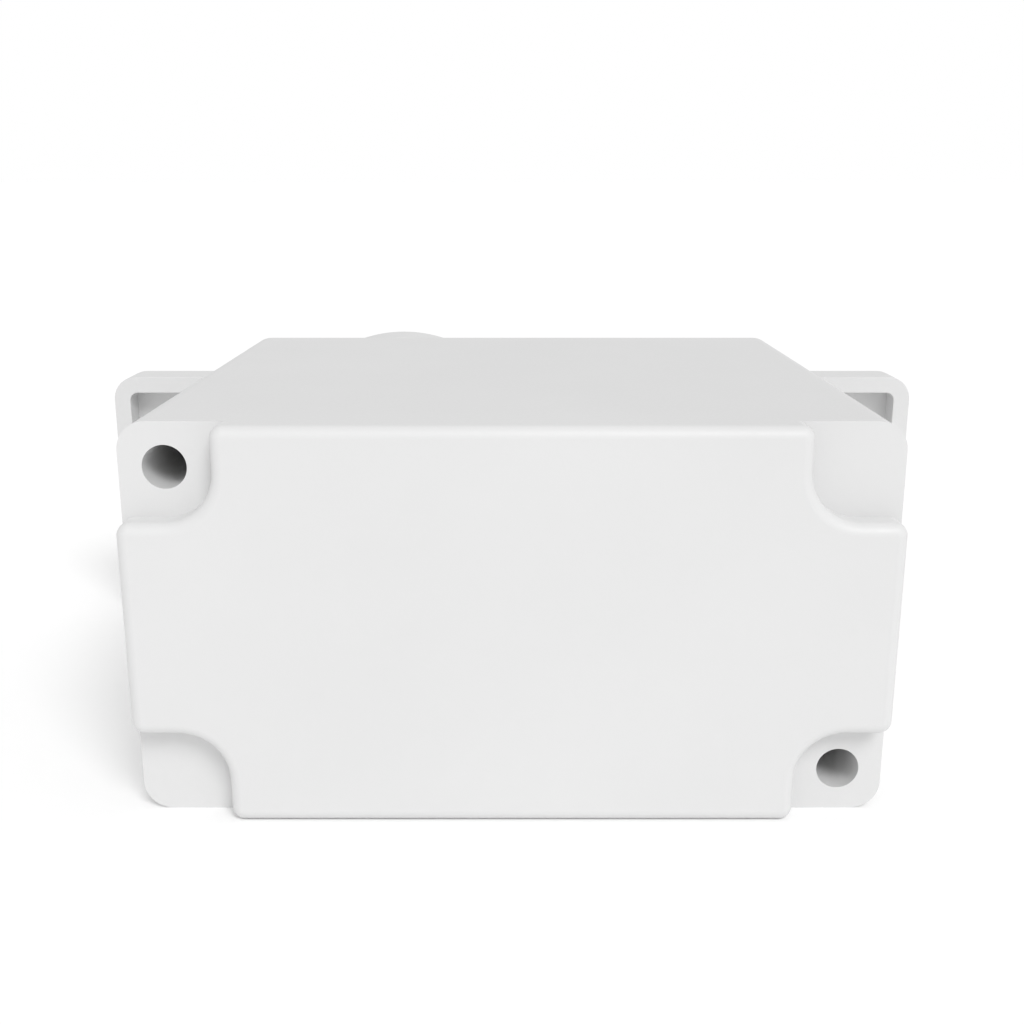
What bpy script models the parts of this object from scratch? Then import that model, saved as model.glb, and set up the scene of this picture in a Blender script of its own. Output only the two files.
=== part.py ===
"""Whole house surge protector: a deep moulded housing on an eared base, with a conduit nipple at the rear.

Metres, +Z up. The front panel faces -Y, the mounting side faces +Y, and the origin is at the middle of
the underside of the whole part's box.
"""

import math

import bmesh
import bpy

MM = 0.001

# Housing
BODY_WIDTH = 76.2 * MM
BODY_HEIGHT = 40.9 * MM
BODY_DEPTH = 65.0 * MM
BODY_EDGE_RADIUS = 2.9 * MM
WALL = 3.0 * MM
FRONT_WALL = 2.5 * MM
RABBET_WALL = 1.6 * MM

# Raised front panel and its four corner lands
PANEL_RAISE = 3.1 * MM
PANEL_FILLET = 1.2 * MM
PANEL_TIP_RADIUS = 1.3 * MM
LAND_ARC_RADIUS = 5.0 * MM

# Through bores for the two mounting screws, at the upper left and the lower right
BORE_DIAMETER = 4.35 * MM
BORE_INSET = 4.5 * MM
POST_WALL = 2.0 * MM

# Eared base
EAR_SPAN = 114.0 * MM
EAR_HEIGHT = 31.2 * MM
EAR_THICKNESS = 6.1 * MM
EAR_CORNER_RADIUS = 3.3 * MM
EAR_RIM = 2.3 * MM
EAR_POCKET_DEPTH = 3.5 * MM
EAR_POCKET_RADIUS = 1.1 * MM
EAR_SLOT_WIDTH = 5.2 * MM
EAR_SLOT_LENGTH = 8.0 * MM
BASE_FLOOR = 3.1 * MM
BASE_UPSTAND = 2.2 * MM
GASKET_THICKNESS = 1.4 * MM

# Conduit nipple, trade size 3/4, with its sealing ring and locknut
NIPPLE_DIAMETER = 26.67 * MM
NIPPLE_WALL = 2.87 * MM
NIPPLE_REACH = 23.5 * MM
NIPPLE_INSET = 21.3 * MM
NIPPLE_FLANGE_LIP = 1.7 * MM
NIPPLE_FLANGE_THICKNESS = 3.0 * MM
NIPPLE_CHAMFER = 1.0 * MM
COLLAR_LIP = 1.8 * MM
SEALING_RING_DIAMETER = 39.0 * MM
SEALING_RING_THICKNESS = 3.5 * MM
SEALING_RING_EDGE = 0.7 * MM
LOCKNUT_DIAMETER = 40.0 * MM
LOCKNUT_THICKNESS = 7.9 * MM
LOCKNUT_LUGS = 6
LOCKNUT_LUG_DEGREES = 46.0
LOCKNUT_FLANK_DEGREES = 3.5
LOCKNUT_NOTCH_DEPTH = 2.4 * MM

# Closing screws with captive washers, driven from the rear
SCREW_INSET = 8.0 * MM
LOWER_SCREW_X = 8.5 * MM
SCREW_DIAMETER = 3.5 * MM
SCREW_LENGTH = 16.0 * MM
SCREW_HEAD_DIAMETER = 6.6 * MM
SCREW_HEAD_HEIGHT = 2.4 * MM
SCREW_RECESS_LENGTH = 3.6 * MM
SCREW_RECESS_WIDTH = 0.8 * MM
SCREW_RECESS_DEPTH = 1.2 * MM
WASHER_DIAMETER = 7.2 * MM
WASHER_THICKNESS = 0.8 * MM
SCREW_SINK = 0.4 * MM
COUNTERBORE_WALL = 1.2 * MM
SCREW_BOSS_WALL = 1.8 * MM
BOSS_RIB = 2.0 * MM

# Circuit board on four standoffs
BOARD_THICKNESS = 1.6 * MM
BOARD_EDGE_GAP = 1.5 * MM
BOARD_SIDE_GAP = 3.1 * MM
BOARD_POST_GAP = 0.9 * MM
STANDOFF_HEIGHT = 15.1 * MM
STANDOFF_DIAMETER = 4.8 * MM
STANDOFF_EDGE = 2.7 * MM
BOARD_SCREW_DIAMETER = 2.2 * MM
BOARD_SCREW_LENGTH = 8.0 * MM
BOARD_SCREW_HEAD_DIAMETER = 4.2 * MM
BOARD_SCREW_HEAD_HEIGHT = 1.6 * MM

# Varistor discs with a thermal fuse between each pair
VARISTOR_DIAMETER = 23.0 * MM
VARISTOR_THICKNESS = 5.6 * MM
VARISTOR_LIFT = 3.0 * MM
VARISTOR_LEAD_PITCH = 10.0 * MM
COLUMN_PITCH = 27.0 * MM
ROW_PITCH = 11.0 * MM
ROW_EDGE = 5.4 * MM
FUSE_DIAMETER = 3.9 * MM
FUSE_LENGTH = 11.0 * MM
FUSE_LEAD_PITCH = 17.0 * MM
FUSE_LIFT = 14.0 * MM
LEAD_DIAMETER = 1.0 * MM

# Small row under the discs, with the gas tube and filter capacitors, and the lead terminals
SMALL_ROW_EDGE = 1.0 * MM
SMALL_ROW_GAP = 1.7 * MM
GAS_TUBE_GAP = 1.0 * MM
GAS_TUBE_LENGTH = 6.0 * MM
GAS_TUBE_CAP = 1.2 * MM
GAS_TUBE_CAP_LIP = 0.4 * MM
GAS_TUBE_EDGE = 11.0 * MM
CAPACITOR_WIDTH = 6.0 * MM
CAPACITOR_HEIGHT = 12.0 * MM
CAPACITOR_LEAD_INSET = 1.25 * MM
CAPACITOR_EDGE_RADIUS = 0.6 * MM
CAPACITOR_GAP = 0.9 * MM
COMPONENT_LIFT = 2.0 * MM
TERMINAL_WIDTH = 4.8 * MM
TERMINAL_THICKNESS = 0.8 * MM
TERMINAL_LENGTH = 7.0 * MM
TERMINAL_FOOT_DEPTH = 2.4 * MM
TERMINAL_FOOT_HEIGHT = 1.0 * MM
TERMINAL_HOLE_DIAMETER = 1.6 * MM
TERMINAL_PITCH_X = 10.0 * MM
TERMINAL_PITCH_Z = 9.0 * MM

# Gap between pieces that touch, and how far joined shapes and cutters run past each other
CLEARANCE = 0.3 * MM
OVERRUN = 1.0 * MM
CORNER_LEFT = 0.1 * MM
WELD = 0.001 * MM
IN_PLANE = 0.01 * MM

# Facets and edges
ROUND_SIDES = 48
POST_SIDES = 24
SMALL_SIDES = 20
LEAD_SIDES = 8
ARC_STEPS = 6
FILLET_STEPS = 4
NOTCH_STEPS = 2
CASE_EDGE_STEPS = 2
WIRE_RESOLUTION = 1
ROUND_PROFILE = 0.5
SHARP_DEGREES = 35.0
FLAT_DEGREES = 1.0

# Places that follow from the sizes
HALF_WIDTH = BODY_WIDTH / 2
MID_Z = BODY_HEIGHT / 2
OVERALL_DEPTH = PANEL_RAISE + BODY_DEPTH + NIPPLE_REACH
PANEL_Y = -OVERALL_DEPTH / 2
LAND_Y = PANEL_Y + PANEL_RAISE
BACK_Y = LAND_Y + BODY_DEPTH
LAND_SIZE = BORE_INSET + LAND_ARC_RADIUS
BORE_RADIUS = BORE_DIAMETER / 2
POST_RADIUS = BORE_RADIUS + POST_WALL
POST_X = HALF_WIDTH - BORE_INSET
POST_RISE = MID_Z - BORE_INSET
BASE_INSET = RABBET_WALL + CLEARANCE
EAR_FRONT_Y = BACK_Y - EAR_THICKNESS
GASKET_Y = EAR_FRONT_Y - CLEARANCE - GASKET_THICKNESS
LEDGE_Y = GASKET_Y - CLEARANCE
BASE_FLOOR_Y = BACK_Y - BASE_FLOOR
NIPPLE_X = -HALF_WIDTH + NIPPLE_INSET
NIPPLE_RADIUS = NIPPLE_DIAMETER / 2
COLLAR_RADIUS = NIPPLE_RADIUS + NIPPLE_FLANGE_LIP + COLLAR_LIP
SCREW_STACK = 2 * CLEARANCE + WASHER_THICKNESS
COUNTERBORE_DEPTH = SCREW_STACK + SCREW_HEAD_HEIGHT + SCREW_SINK
COUNTERBORE_RADIUS = max(WASHER_DIAMETER, SCREW_HEAD_DIAMETER) / 2 + CLEARANCE
SCREW_SEAT_Y = BACK_Y - COUNTERBORE_DEPTH
SCREW_HOLE_RADIUS = SCREW_DIAMETER / 2 + CLEARANCE
SCREW_BOSS_RADIUS = SCREW_HOLE_RADIUS + SCREW_BOSS_WALL
UPPER_SCREW = (HALF_WIDTH - SCREW_INSET, BODY_HEIGHT - SCREW_INSET)
LOWER_SCREW = (LOWER_SCREW_X, SCREW_INSET)
BOARD_BACK_Y = BASE_FLOOR_Y - STANDOFF_HEIGHT - CLEARANCE
BOARD_FRONT_Y = BOARD_BACK_Y - BOARD_THICKNESS
BOARD_LEFT = -HALF_WIDTH + WALL + BOARD_SIDE_GAP
BOARD_RIGHT = UPPER_SCREW[0] - SCREW_BOSS_RADIUS - BOARD_POST_GAP
BOARD_BOTTOM = WALL + BOARD_EDGE_GAP
BOARD_TOP = BODY_HEIGHT - WALL - BOARD_EDGE_GAP
BOARD_MID_X = (BOARD_LEFT + BOARD_RIGHT) / 2
BOARD_HOLE_RADIUS = BOARD_SCREW_DIAMETER / 2 + CLEARANCE
STANDOFFS = (
    (BOARD_LEFT + STANDOFF_EDGE, BOARD_BOTTOM + STANDOFF_EDGE),
    (BOARD_RIGHT - STANDOFF_EDGE, BOARD_BOTTOM + STANDOFF_EDGE),
    (BOARD_MID_X, BOARD_TOP - STANDOFF_EDGE),
    (BOARD_RIGHT - STANDOFF_EDGE, BOARD_TOP - STANDOFF_EDGE),
)
UPPER_ROW_Z = BOARD_TOP - ROW_EDGE
LOWER_ROW_Z = UPPER_ROW_Z - ROW_PITCH
SMALL_ROW_BOTTOM = BOARD_BOTTOM + SMALL_ROW_EDGE
SMALL_ROW_TOP = LOWER_ROW_Z - VARISTOR_THICKNESS / 2 - SMALL_ROW_GAP
SMALL_ROW_Z = (SMALL_ROW_BOTTOM + SMALL_ROW_TOP) / 2
CAPACITOR_LENGTH = SMALL_ROW_TOP - SMALL_ROW_BOTTOM
GAS_TUBE_RADIUS = CAPACITOR_LENGTH / 2 - GAS_TUBE_GAP
COLUMN_X = (BOARD_MID_X - COLUMN_PITCH / 2, BOARD_MID_X + COLUMN_PITCH / 2)

TURN_TO_REAR = (-math.pi / 2, 0, 0)
TURN_TO_FRONT = (math.pi / 2, 0, 0)

# Colours
PALE_GREY = (0.80, 0.80, 0.80)
SEAL_BLACK = (0.03, 0.03, 0.032)
ZINC_GREY = (0.62, 0.63, 0.65)
BOARD_GREEN = (0.03, 0.16, 0.07)
EPOXY_BLUE = (0.03, 0.10, 0.30)
FUSE_CREAM = (0.75, 0.70, 0.58)
CERAMIC_WHITE = (0.85, 0.84, 0.80)
CASE_YELLOW = (0.72, 0.50, 0.06)
BRASS = (0.72, 0.55, 0.25)

# Roughness, from 0 for a mirror to 1 for chalk
RUBBER_ROUGHNESS = 0.8
MOULDED_ROUGHNESS = 0.55
COATED_ROUGHNESS = 0.42
METAL_ROUGHNESS = 0.35


def empty_scene():
    """Remove every object, then return the collection of parts and the collection of cutters."""
    for item in list(bpy.data.objects):
        bpy.data.objects.remove(item, do_unlink=True)
    made = []
    for name in ("whole_house_surge_protector", "cutters"):
        collection = bpy.data.collections.new(name)
        bpy.context.scene.collection.children.link(collection)
        made.append(collection)
    return made


PARTS, CUTTERS = empty_scene()


def finish(name, colour, roughness, metallic=0.0):
    """A plain Principled material."""
    material = bpy.data.materials.new(name)
    material.use_nodes = True
    shader = material.node_tree.nodes["Principled BSDF"]
    shader.inputs["Base Color"].default_value = (*colour, 1.0)
    shader.inputs["Roughness"].default_value = roughness
    shader.inputs["Metallic"].default_value = metallic
    return material


def move_to(item, collection):
    """Keep an object in one collection only."""
    for old in list(item.users_collection):
        old.objects.unlink(item)
    collection.objects.link(item)
    return item


def as_part(item, name, material):
    """Name an object as a sub-part, give it its material and shade it smooth between its sharp edges."""
    item.name = name
    item.data.name = name
    item.data.materials.clear()
    item.data.materials.append(material)
    item.data.shade_smooth()
    item.data.set_sharp_from_angle(angle=math.radians(SHARP_DEGREES))
    return move_to(item, PARTS)


def cut(item, *cutters, operation="DIFFERENCE"):
    """Add one live Boolean for each helper shape."""
    for cutter in cutters:
        move_to(cutter, CUTTERS)
        cutter.hide_render = True
        cutter.display_type = "WIRE"
        modifier = item.modifiers.new(cutter.name, "BOOLEAN")
        modifier.operation = operation
        modifier.solver = "EXACT"
        modifier.object = cutter
    return item


def join(item, *shapes):
    """Add one live union for each helper shape."""
    return cut(item, *shapes, operation="UNION")


def block(name, low, high):
    """A box between two corners."""
    centre = [(a + b) / 2 for a, b in zip(low, high)]
    bpy.ops.mesh.primitive_cube_add(size=1, location=centre)
    item = bpy.context.object
    item.name = name
    item.scale = [b - a for a, b in zip(low, high)]
    bpy.ops.object.transform_apply(location=False, rotation=False, scale=True)
    return item


def rod(name, radius, place, front_y, rear_y, sides=SMALL_SIDES):
    """A cylinder along Y at the place (x, z)."""
    x, z = place
    bpy.ops.mesh.primitive_cylinder_add(
        vertices=sides,
        radius=radius,
        depth=rear_y - front_y,
        location=(x, (front_y + rear_y) / 2, z),
        rotation=TURN_TO_REAR,
    )
    item = bpy.context.object
    item.name = name
    return item


def extrusion(name, outlines, place, front_y, rear_y):
    """A flat outline, with any holes, pulled along Y. Its points are (x, z) about the place."""
    curve = bpy.data.curves.new(name, "CURVE")
    curve.dimensions = "2D"
    curve.fill_mode = "BOTH"
    curve.extrude = (rear_y - front_y) / 2
    for outline in outlines:
        spline = curve.splines.new("POLY")
        spline.points.add(len(outline) - 1)
        for point, (x, z) in zip(spline.points, outline):
            point.co = (x, z, 0, 1)
        spline.use_cyclic_u = True
    source = bpy.data.objects.new(name, curve)
    source.location = (place[0], (front_y + rear_y) / 2, place[1])
    source.rotation_euler = TURN_TO_FRONT
    bpy.context.scene.collection.objects.link(source)
    return as_mesh(source)


def as_mesh(source):
    """Turn a curve, or a mesh with modifiers, into a plain mesh object with its caps welded on."""
    bpy.context.view_layer.update()
    graph = bpy.context.evaluated_depsgraph_get()
    mesh = bpy.data.meshes.new_from_object(source.evaluated_get(graph))
    shape = bmesh.new()
    shape.from_mesh(mesh)
    bmesh.ops.remove_doubles(shape, verts=shape.verts, dist=WELD)
    bmesh.ops.recalc_face_normals(shape, faces=shape.faces)
    shape.to_mesh(mesh)
    shape.free()
    name = source.name
    item = bpy.data.objects.new(name, mesh)
    item.matrix_world = source.matrix_world.copy()
    bpy.context.scene.collection.objects.link(item)
    bpy.data.objects.remove(source, do_unlink=True)
    item.name = name
    return item


def wire(name, points, diameter):
    """A round wire through a few points."""
    curve = bpy.data.curves.new(name, "CURVE")
    curve.dimensions = "3D"
    curve.bevel_depth = diameter / 2
    curve.bevel_resolution = WIRE_RESOLUTION
    curve.use_fill_caps = True
    spline = curve.splines.new("POLY")
    spline.points.add(len(points) - 1)
    for point, place in zip(spline.points, points):
        point.co = (*place, 1)
    source = bpy.data.objects.new(name, curve)
    bpy.context.scene.collection.objects.link(source)
    return as_mesh(source)


def turned(name, profile, location, rotation, sides, closed=True):
    """A profile of (radius, height) turned about the local Z axis. It runs down its outer side."""
    mesh = bpy.data.meshes.new(name)
    shape = bmesh.new()
    points = [shape.verts.new((radius, 0, height)) for radius, height in profile]
    for start, end in zip(points, points[1:]):
        shape.edges.new((start, end))
    if closed:
        shape.edges.new((points[-1], points[0]))
    shape.to_mesh(mesh)
    shape.free()
    item = bpy.data.objects.new(name, mesh)
    item.location = location
    item.rotation_euler = rotation
    bpy.context.scene.collection.objects.link(item)
    screw = item.modifiers.new("turn", "SCREW")
    screw.steps = sides
    screw.render_steps = sides
    screw.use_merge_vertices = True
    screw.merge_threshold = WELD
    screw.use_smooth_shade = True
    return item


def arc(centre, radius, start, end, steps=ARC_STEPS):
    """Points along an arc, both ends included, with the angles in degrees."""
    angles = [math.radians(start + (end - start) * i / steps) for i in range(steps + 1)]
    return [(centre[0] + radius * math.cos(a), centre[1] + radius * math.sin(a)) for a in angles]


def four_corners(corner, other=None):
    """A closed outline from the points of its upper right corner, which run from the side to the top.

    Where other is given, it is the form of the upper left and lower right corners.
    """
    other = other or corner
    upper_left = [(-x, z) for x, z in reversed(other)]
    lower_left = [(-x, -z) for x, z in corner]
    lower_right = [(x, -z) for x, z in reversed(other)]
    return corner + upper_left + lower_left + lower_right


def rounded_outline(half_width, half_height, radius):
    """A rectangle with round corners."""
    return four_corners(arc((half_width - radius, half_height - radius), radius, 0, 90))


def land_outline(across, up):
    """What is cut from one corner of the raised panel to leave a land, as (x, z) about the body's middle."""
    tip = PANEL_TIP_RADIUS
    side_tip = (HALF_WIDTH - tip, MID_Z - LAND_SIZE - tip)
    top_tip = (HALF_WIDTH - LAND_SIZE - tip, MID_Z - tip)
    past = (HALF_WIDTH + OVERRUN, MID_Z + OVERRUN)
    outline = [(past[0], side_tip[1])]
    outline += arc(side_tip, tip, 0, 90)
    outline += arc((POST_X, POST_RISE), LAND_ARC_RADIUS, -90, -180)
    outline += arc(top_tip, tip, 0, 90)
    outline += [(top_tip[0], past[1]), past]
    return [(across * x, up * z) for x, z in outline]


def base_outline(inset):
    """The body's outline drawn in by an inset, stepping round the two bored posts."""
    half_width = HALF_WIDTH - inset
    half_height = MID_Z - inset
    radius = max(BODY_EDGE_RADIUS - inset, CLEARANCE)
    plain = arc((half_width - radius, half_height - radius), radius, 0, 90)
    around = POST_RADIUS + CLEARANCE + inset - BASE_INSET
    reach = math.degrees(math.acos((BORE_INSET - inset) / around))
    bored = arc((POST_X, POST_RISE), around, -reach, reach - 270, 2 * ARC_STEPS)
    return four_corners(plain, bored)


def post_places():
    """The two bore axes, as (x, z): upper left and lower right."""
    return (-POST_X, MID_Z + POST_RISE), (POST_X, MID_Z - POST_RISE)


def bevel_front(item, front_y, size, steps):
    """Round the edges that lie in the front plane of an extrusion."""
    shape = bmesh.new()
    shape.from_mesh(item.data)
    bmesh.ops.dissolve_limit(
        shape, angle_limit=math.radians(FLAT_DEGREES), verts=shape.verts, edges=shape.edges
    )
    front = [
        face
        for face in shape.faces
        if all(abs((item.matrix_world @ v.co).y - front_y) < IN_PLANE for v in face.verts)
    ]
    edges = list({edge for face in front for edge in face.edges})
    bmesh.ops.bevel(
        shape, geom=edges, offset=size, segments=steps, profile=ROUND_PROFILE, affect="EDGES"
    )
    shape.to_mesh(item.data)
    shape.free()
    return item


def make_housing(material):
    """The deep front housing: raised panel, lands, bored posts and the bosses for the closing screws."""
    middle = (0, MID_Z)
    body = [rounded_outline(HALF_WIDTH, MID_Z, BODY_EDGE_RADIUS)]
    housing = extrusion("housing", body, middle, PANEL_Y, BACK_Y)
    lands = []
    for across in (-1, 1):
        for up in (-1, 1):
            outline = [land_outline(across, up)]
            lands.append(extrusion("housing_land", outline, middle, PANEL_Y - OVERRUN, LAND_Y))
    housing = as_mesh(cut(housing, *lands))
    for land in lands:
        bpy.data.objects.remove(land, do_unlink=True)
    fillet = min(PANEL_FILLET, PANEL_TIP_RADIUS - CORNER_LEFT)
    bevel_front(housing, PANEL_Y, fillet, FILLET_STEPS)

    half_cavity = HALF_WIDTH - WALL
    rear = BACK_Y + OVERRUN
    cavity = block(
        "housing_cavity",
        (-half_cavity, LAND_Y + FRONT_WALL, WALL),
        (half_cavity, rear, BODY_HEIGHT - WALL),
    )
    half_rabbet = HALF_WIDTH - RABBET_WALL
    rabbet = block(
        "housing_rabbet",
        (-half_rabbet, LEDGE_Y, RABBET_WALL),
        (half_rabbet, rear, BODY_HEIGHT - RABBET_WALL),
    )
    pocket_y = PANEL_Y + FRONT_WALL
    pocket_rear = LAND_Y + FRONT_WALL + OVERRUN
    narrow = LAND_SIZE + WALL
    tall_pocket = block(
        "housing_tall_pocket",
        (-HALF_WIDTH + narrow, pocket_y, WALL),
        (HALF_WIDTH - narrow, pocket_rear, BODY_HEIGHT - WALL),
    )
    wide_pocket = block(
        "housing_wide_pocket",
        (-half_cavity, pocket_y, narrow),
        (half_cavity, pocket_rear, BODY_HEIGHT - narrow),
    )
    half_notch = EAR_HEIGHT / 2 + CLEARANCE
    ear_notch = block(
        "housing_ear_notch",
        (-HALF_WIDTH - OVERRUN, EAR_FRONT_Y - CLEARANCE, MID_Z - half_notch),
        (HALF_WIDTH + OVERRUN, rear, MID_Z + half_notch),
    )
    cut(housing, cavity, rabbet, tall_pocket, wide_pocket, ear_notch)

    land_root = LAND_Y + FRONT_WALL / 2
    panel_root = PANEL_Y + FRONT_WALL / 2
    boss_end = EAR_FRONT_Y - CLEARANCE
    for i, place in enumerate(post_places()):
        join(housing, rod(f"housing_post_{i}", POST_RADIUS, place, land_root, BACK_Y, POST_SIDES))
    for i, ((x, z), boss_y) in enumerate(((UPPER_SCREW, land_root), (LOWER_SCREW, panel_root))):
        join(housing, rod(f"housing_boss_{i}", SCREW_BOSS_RADIUS, (x, z), boss_y, boss_end))
        wall_z = BODY_HEIGHT - WALL + OVERRUN if z > MID_Z else WALL - OVERRUN
        rib_low = (x - BOSS_RIB / 2, boss_y, min(z, wall_z))
        rib_high = (x + BOSS_RIB / 2, LEDGE_Y - CLEARANCE, max(z, wall_z))
        join(housing, block(f"housing_rib_{i}", rib_low, rib_high))
    for i, place in enumerate(post_places()):
        cut(housing, rod(f"housing_bore_{i}", BORE_RADIUS, place, PANEL_Y, rear, POST_SIDES))
    pilot_y = SCREW_SEAT_Y + SCREW_STACK - SCREW_LENGTH - OVERRUN
    for i, place in enumerate((UPPER_SCREW, LOWER_SCREW)):
        cut(housing, rod(f"housing_pilot_{i}", SCREW_HOLE_RADIUS, place, pilot_y, rear))
    return as_part(housing, "housing", material)


def ear_outline(side):
    """One ear, from inside the body out to its rounded end, as (x, z) about the body's middle."""
    half = EAR_HEIGHT / 2
    tip = EAR_SPAN / 2 - EAR_CORNER_RADIUS
    inner = HALF_WIDTH - BASE_INSET - BASE_UPSTAND
    rise = half - EAR_CORNER_RADIUS
    outline = [(inner, -half)]
    outline += arc((tip, -rise), EAR_CORNER_RADIUS, -90, 0)
    outline += arc((tip, rise), EAR_CORNER_RADIUS, 0, 90)
    outline += [(inner, half)]
    return [(side * x, z) for x, z in outline]


def slot_outline():
    """A slot with round ends, along X."""
    radius = EAR_SLOT_WIDTH / 2
    run = EAR_SLOT_LENGTH / 2 - radius
    steps = 2 * ARC_STEPS
    return arc((run, 0), radius, -90, 90, steps) + arc((-run, 0), radius, 90, 270, steps)


def make_base(material):
    """The rear base: a tray with two pocketed ears, a collar for the nipple and the board's standoffs."""
    middle = (0, MID_Z)
    rear = BACK_Y + OVERRUN
    base = extrusion("base", [base_outline(BASE_INSET)], middle, BASE_FLOOR_Y, BACK_Y)
    ring = [base_outline(BASE_INSET), base_outline(BASE_INSET + BASE_UPSTAND)]
    buried_y = BACK_Y - BASE_FLOOR / 2
    join(base, extrusion("base_upstand", ring, middle, EAR_FRONT_Y, buried_y))
    for side, name in ((-1, "left"), (1, "right")):
        join(base, extrusion(f"base_ear_{name}", [ear_outline(side)], middle, EAR_FRONT_Y, BACK_Y))
    nipple = (NIPPLE_X, MID_Z)
    join(base, rod("base_collar", COLLAR_RADIUS, nipple, EAR_FRONT_Y, buried_y, ROUND_SIDES))
    boss_radius = COUNTERBORE_RADIUS + COUNTERBORE_WALL
    for i, place in enumerate((UPPER_SCREW, LOWER_SCREW)):
        join(base, rod(f"base_boss_{i}", boss_radius, place, EAR_FRONT_Y, buried_y))
    top = BASE_FLOOR_Y - STANDOFF_HEIGHT
    for i, place in enumerate(STANDOFFS):
        join(base, rod(f"base_standoff_{i}", STANDOFF_DIAMETER / 2, place, top, buried_y))

    pocket_half = EAR_HEIGHT / 2 - EAR_RIM
    pocket_inner = HALF_WIDTH + EAR_RIM
    pocket_outer = EAR_SPAN / 2 - EAR_RIM
    pocket = rounded_outline((pocket_outer - pocket_inner) / 2, pocket_half, EAR_POCKET_RADIUS)
    pocket_x = (pocket_outer + pocket_inner) / 2
    pocket_floor = EAR_FRONT_Y + EAR_POCKET_DEPTH
    for side, name in ((-1, "left"), (1, "right")):
        place = (side * pocket_x, MID_Z)
        cut(base, extrusion(f"base_pocket_{name}", [pocket], place, EAR_FRONT_Y - OVERRUN, pocket_floor))
        cut(base, extrusion(f"base_slot_{name}", [slot_outline()], place, EAR_FRONT_Y, rear))
    hole = NIPPLE_RADIUS + CLEARANCE
    cut(base, rod("base_nipple_hole", hole, nipple, EAR_FRONT_Y - OVERRUN, rear, ROUND_SIDES))
    for i, place in enumerate(post_places()):
        clear = POST_RADIUS + CLEARANCE
        cut(base, rod(f"base_post_clear_{i}", clear, place, top, rear, POST_SIDES))
    for i, place in enumerate((UPPER_SCREW, LOWER_SCREW)):
        cut(base, rod(f"base_counterbore_{i}", COUNTERBORE_RADIUS, place, SCREW_SEAT_Y, rear))
        cut(base, rod(f"base_screw_hole_{i}", SCREW_HOLE_RADIUS, place, EAR_FRONT_Y - OVERRUN, rear))
    pilot_end = BOARD_FRONT_Y + BOARD_SCREW_LENGTH
    for i, place in enumerate(STANDOFFS):
        cut(base, rod(f"base_pilot_{i}", BOARD_HOLE_RADIUS, place, top - OVERRUN, pilot_end))
    return as_part(base, "base", material)


def make_gasket(material):
    """The flat seal between the housing's ledge and the base's upstand."""
    ring = [base_outline(BASE_INSET), base_outline(WALL)]
    gasket = extrusion("base_gasket", ring, (0, MID_Z), GASKET_Y, GASKET_Y + GASKET_THICKNESS)
    return as_part(gasket, "base_gasket", material)


def make_nipple(material):
    """The conduit nipple: a tube with a flange that seats inside the base."""
    outer = NIPPLE_RADIUS
    inner = NIPPLE_RADIUS - NIPPLE_WALL
    flange = NIPPLE_RADIUS + NIPPLE_FLANGE_LIP
    seat = -EAR_THICKNESS - CLEARANCE
    foot = seat - NIPPLE_FLANGE_THICKNESS
    profile = [
        (inner, NIPPLE_REACH),
        (outer - NIPPLE_CHAMFER, NIPPLE_REACH),
        (outer, NIPPLE_REACH - NIPPLE_CHAMFER),
        (outer, seat),
        (flange, seat),
        (flange, foot),
        (inner, foot),
    ]
    nipple = turned("nipple", profile, (NIPPLE_X, BACK_Y, MID_Z), TURN_TO_REAR, ROUND_SIDES)
    return as_part(nipple, "nipple", material)


def make_sealing_ring(material):
    """The soft ring between the locknut and the wall that the part is mounted on."""
    inner = NIPPLE_RADIUS + CLEARANCE
    outer = SEALING_RING_DIAMETER / 2
    edge = SEALING_RING_EDGE
    profile = [
        (inner, SEALING_RING_THICKNESS),
        (outer - edge, SEALING_RING_THICKNESS),
        (outer, SEALING_RING_THICKNESS - edge),
        (outer, edge),
        (outer - edge, 0),
        (inner, 0),
    ]
    place = (NIPPLE_X, BACK_Y + CLEARANCE, MID_Z)
    ring = turned("sealing_ring", profile, place, TURN_TO_REAR, ROUND_SIDES)
    return as_part(ring, "sealing_ring", material)


def make_locknut(material):
    """The locknut: a round nut with notches between its lugs."""
    outer = LOCKNUT_DIAMETER / 2
    root = outer - LOCKNUT_NOTCH_DEPTH
    step = 360 / LOCKNUT_LUGS
    half_lug = LOCKNUT_LUG_DEGREES / 2
    half_root = half_lug + LOCKNUT_FLANK_DEGREES
    outline = []
    for i in range(LOCKNUT_LUGS):
        middle = 90 + i * step
        outline += arc((0, 0), outer, middle - half_lug, middle + half_lug, ARC_STEPS)
        outline += arc((0, 0), root, middle + half_root, middle + step - half_root, NOTCH_STEPS)
    bore = arc((0, 0), NIPPLE_RADIUS + CLEARANCE, 0, 360, ROUND_SIDES)[:-1]
    front = BACK_Y + 2 * CLEARANCE + SEALING_RING_THICKNESS
    nut = extrusion("locknut", [outline, bore], (NIPPLE_X, MID_Z), front, front + LOCKNUT_THICKNESS)
    return as_part(nut, "locknut", material)


def pan_head_screw(name, location, rotation, sizes, material):
    """A pan head screw whose head rises from the seat at local height 0 and whose shank runs down.

    The sizes are diameter, length, head diameter and head height. The head's upper half is a low dome.
    """
    diameter, length, head_diameter, head_height = sizes
    shank = diameter / 2
    head = head_diameter / 2
    side = head_height / 2
    dome = arc((0, 0), 1, 90, 0)
    profile = [(head * across, side + side * up) for across, up in dome]
    profile[0] = (0, head_height)
    profile += [(head, 0), (shank, 0), (shank, shank - length), (0, -length)]
    return as_part(turned(name, profile, location, rotation, SMALL_SIDES, closed=False), name, material)


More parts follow.
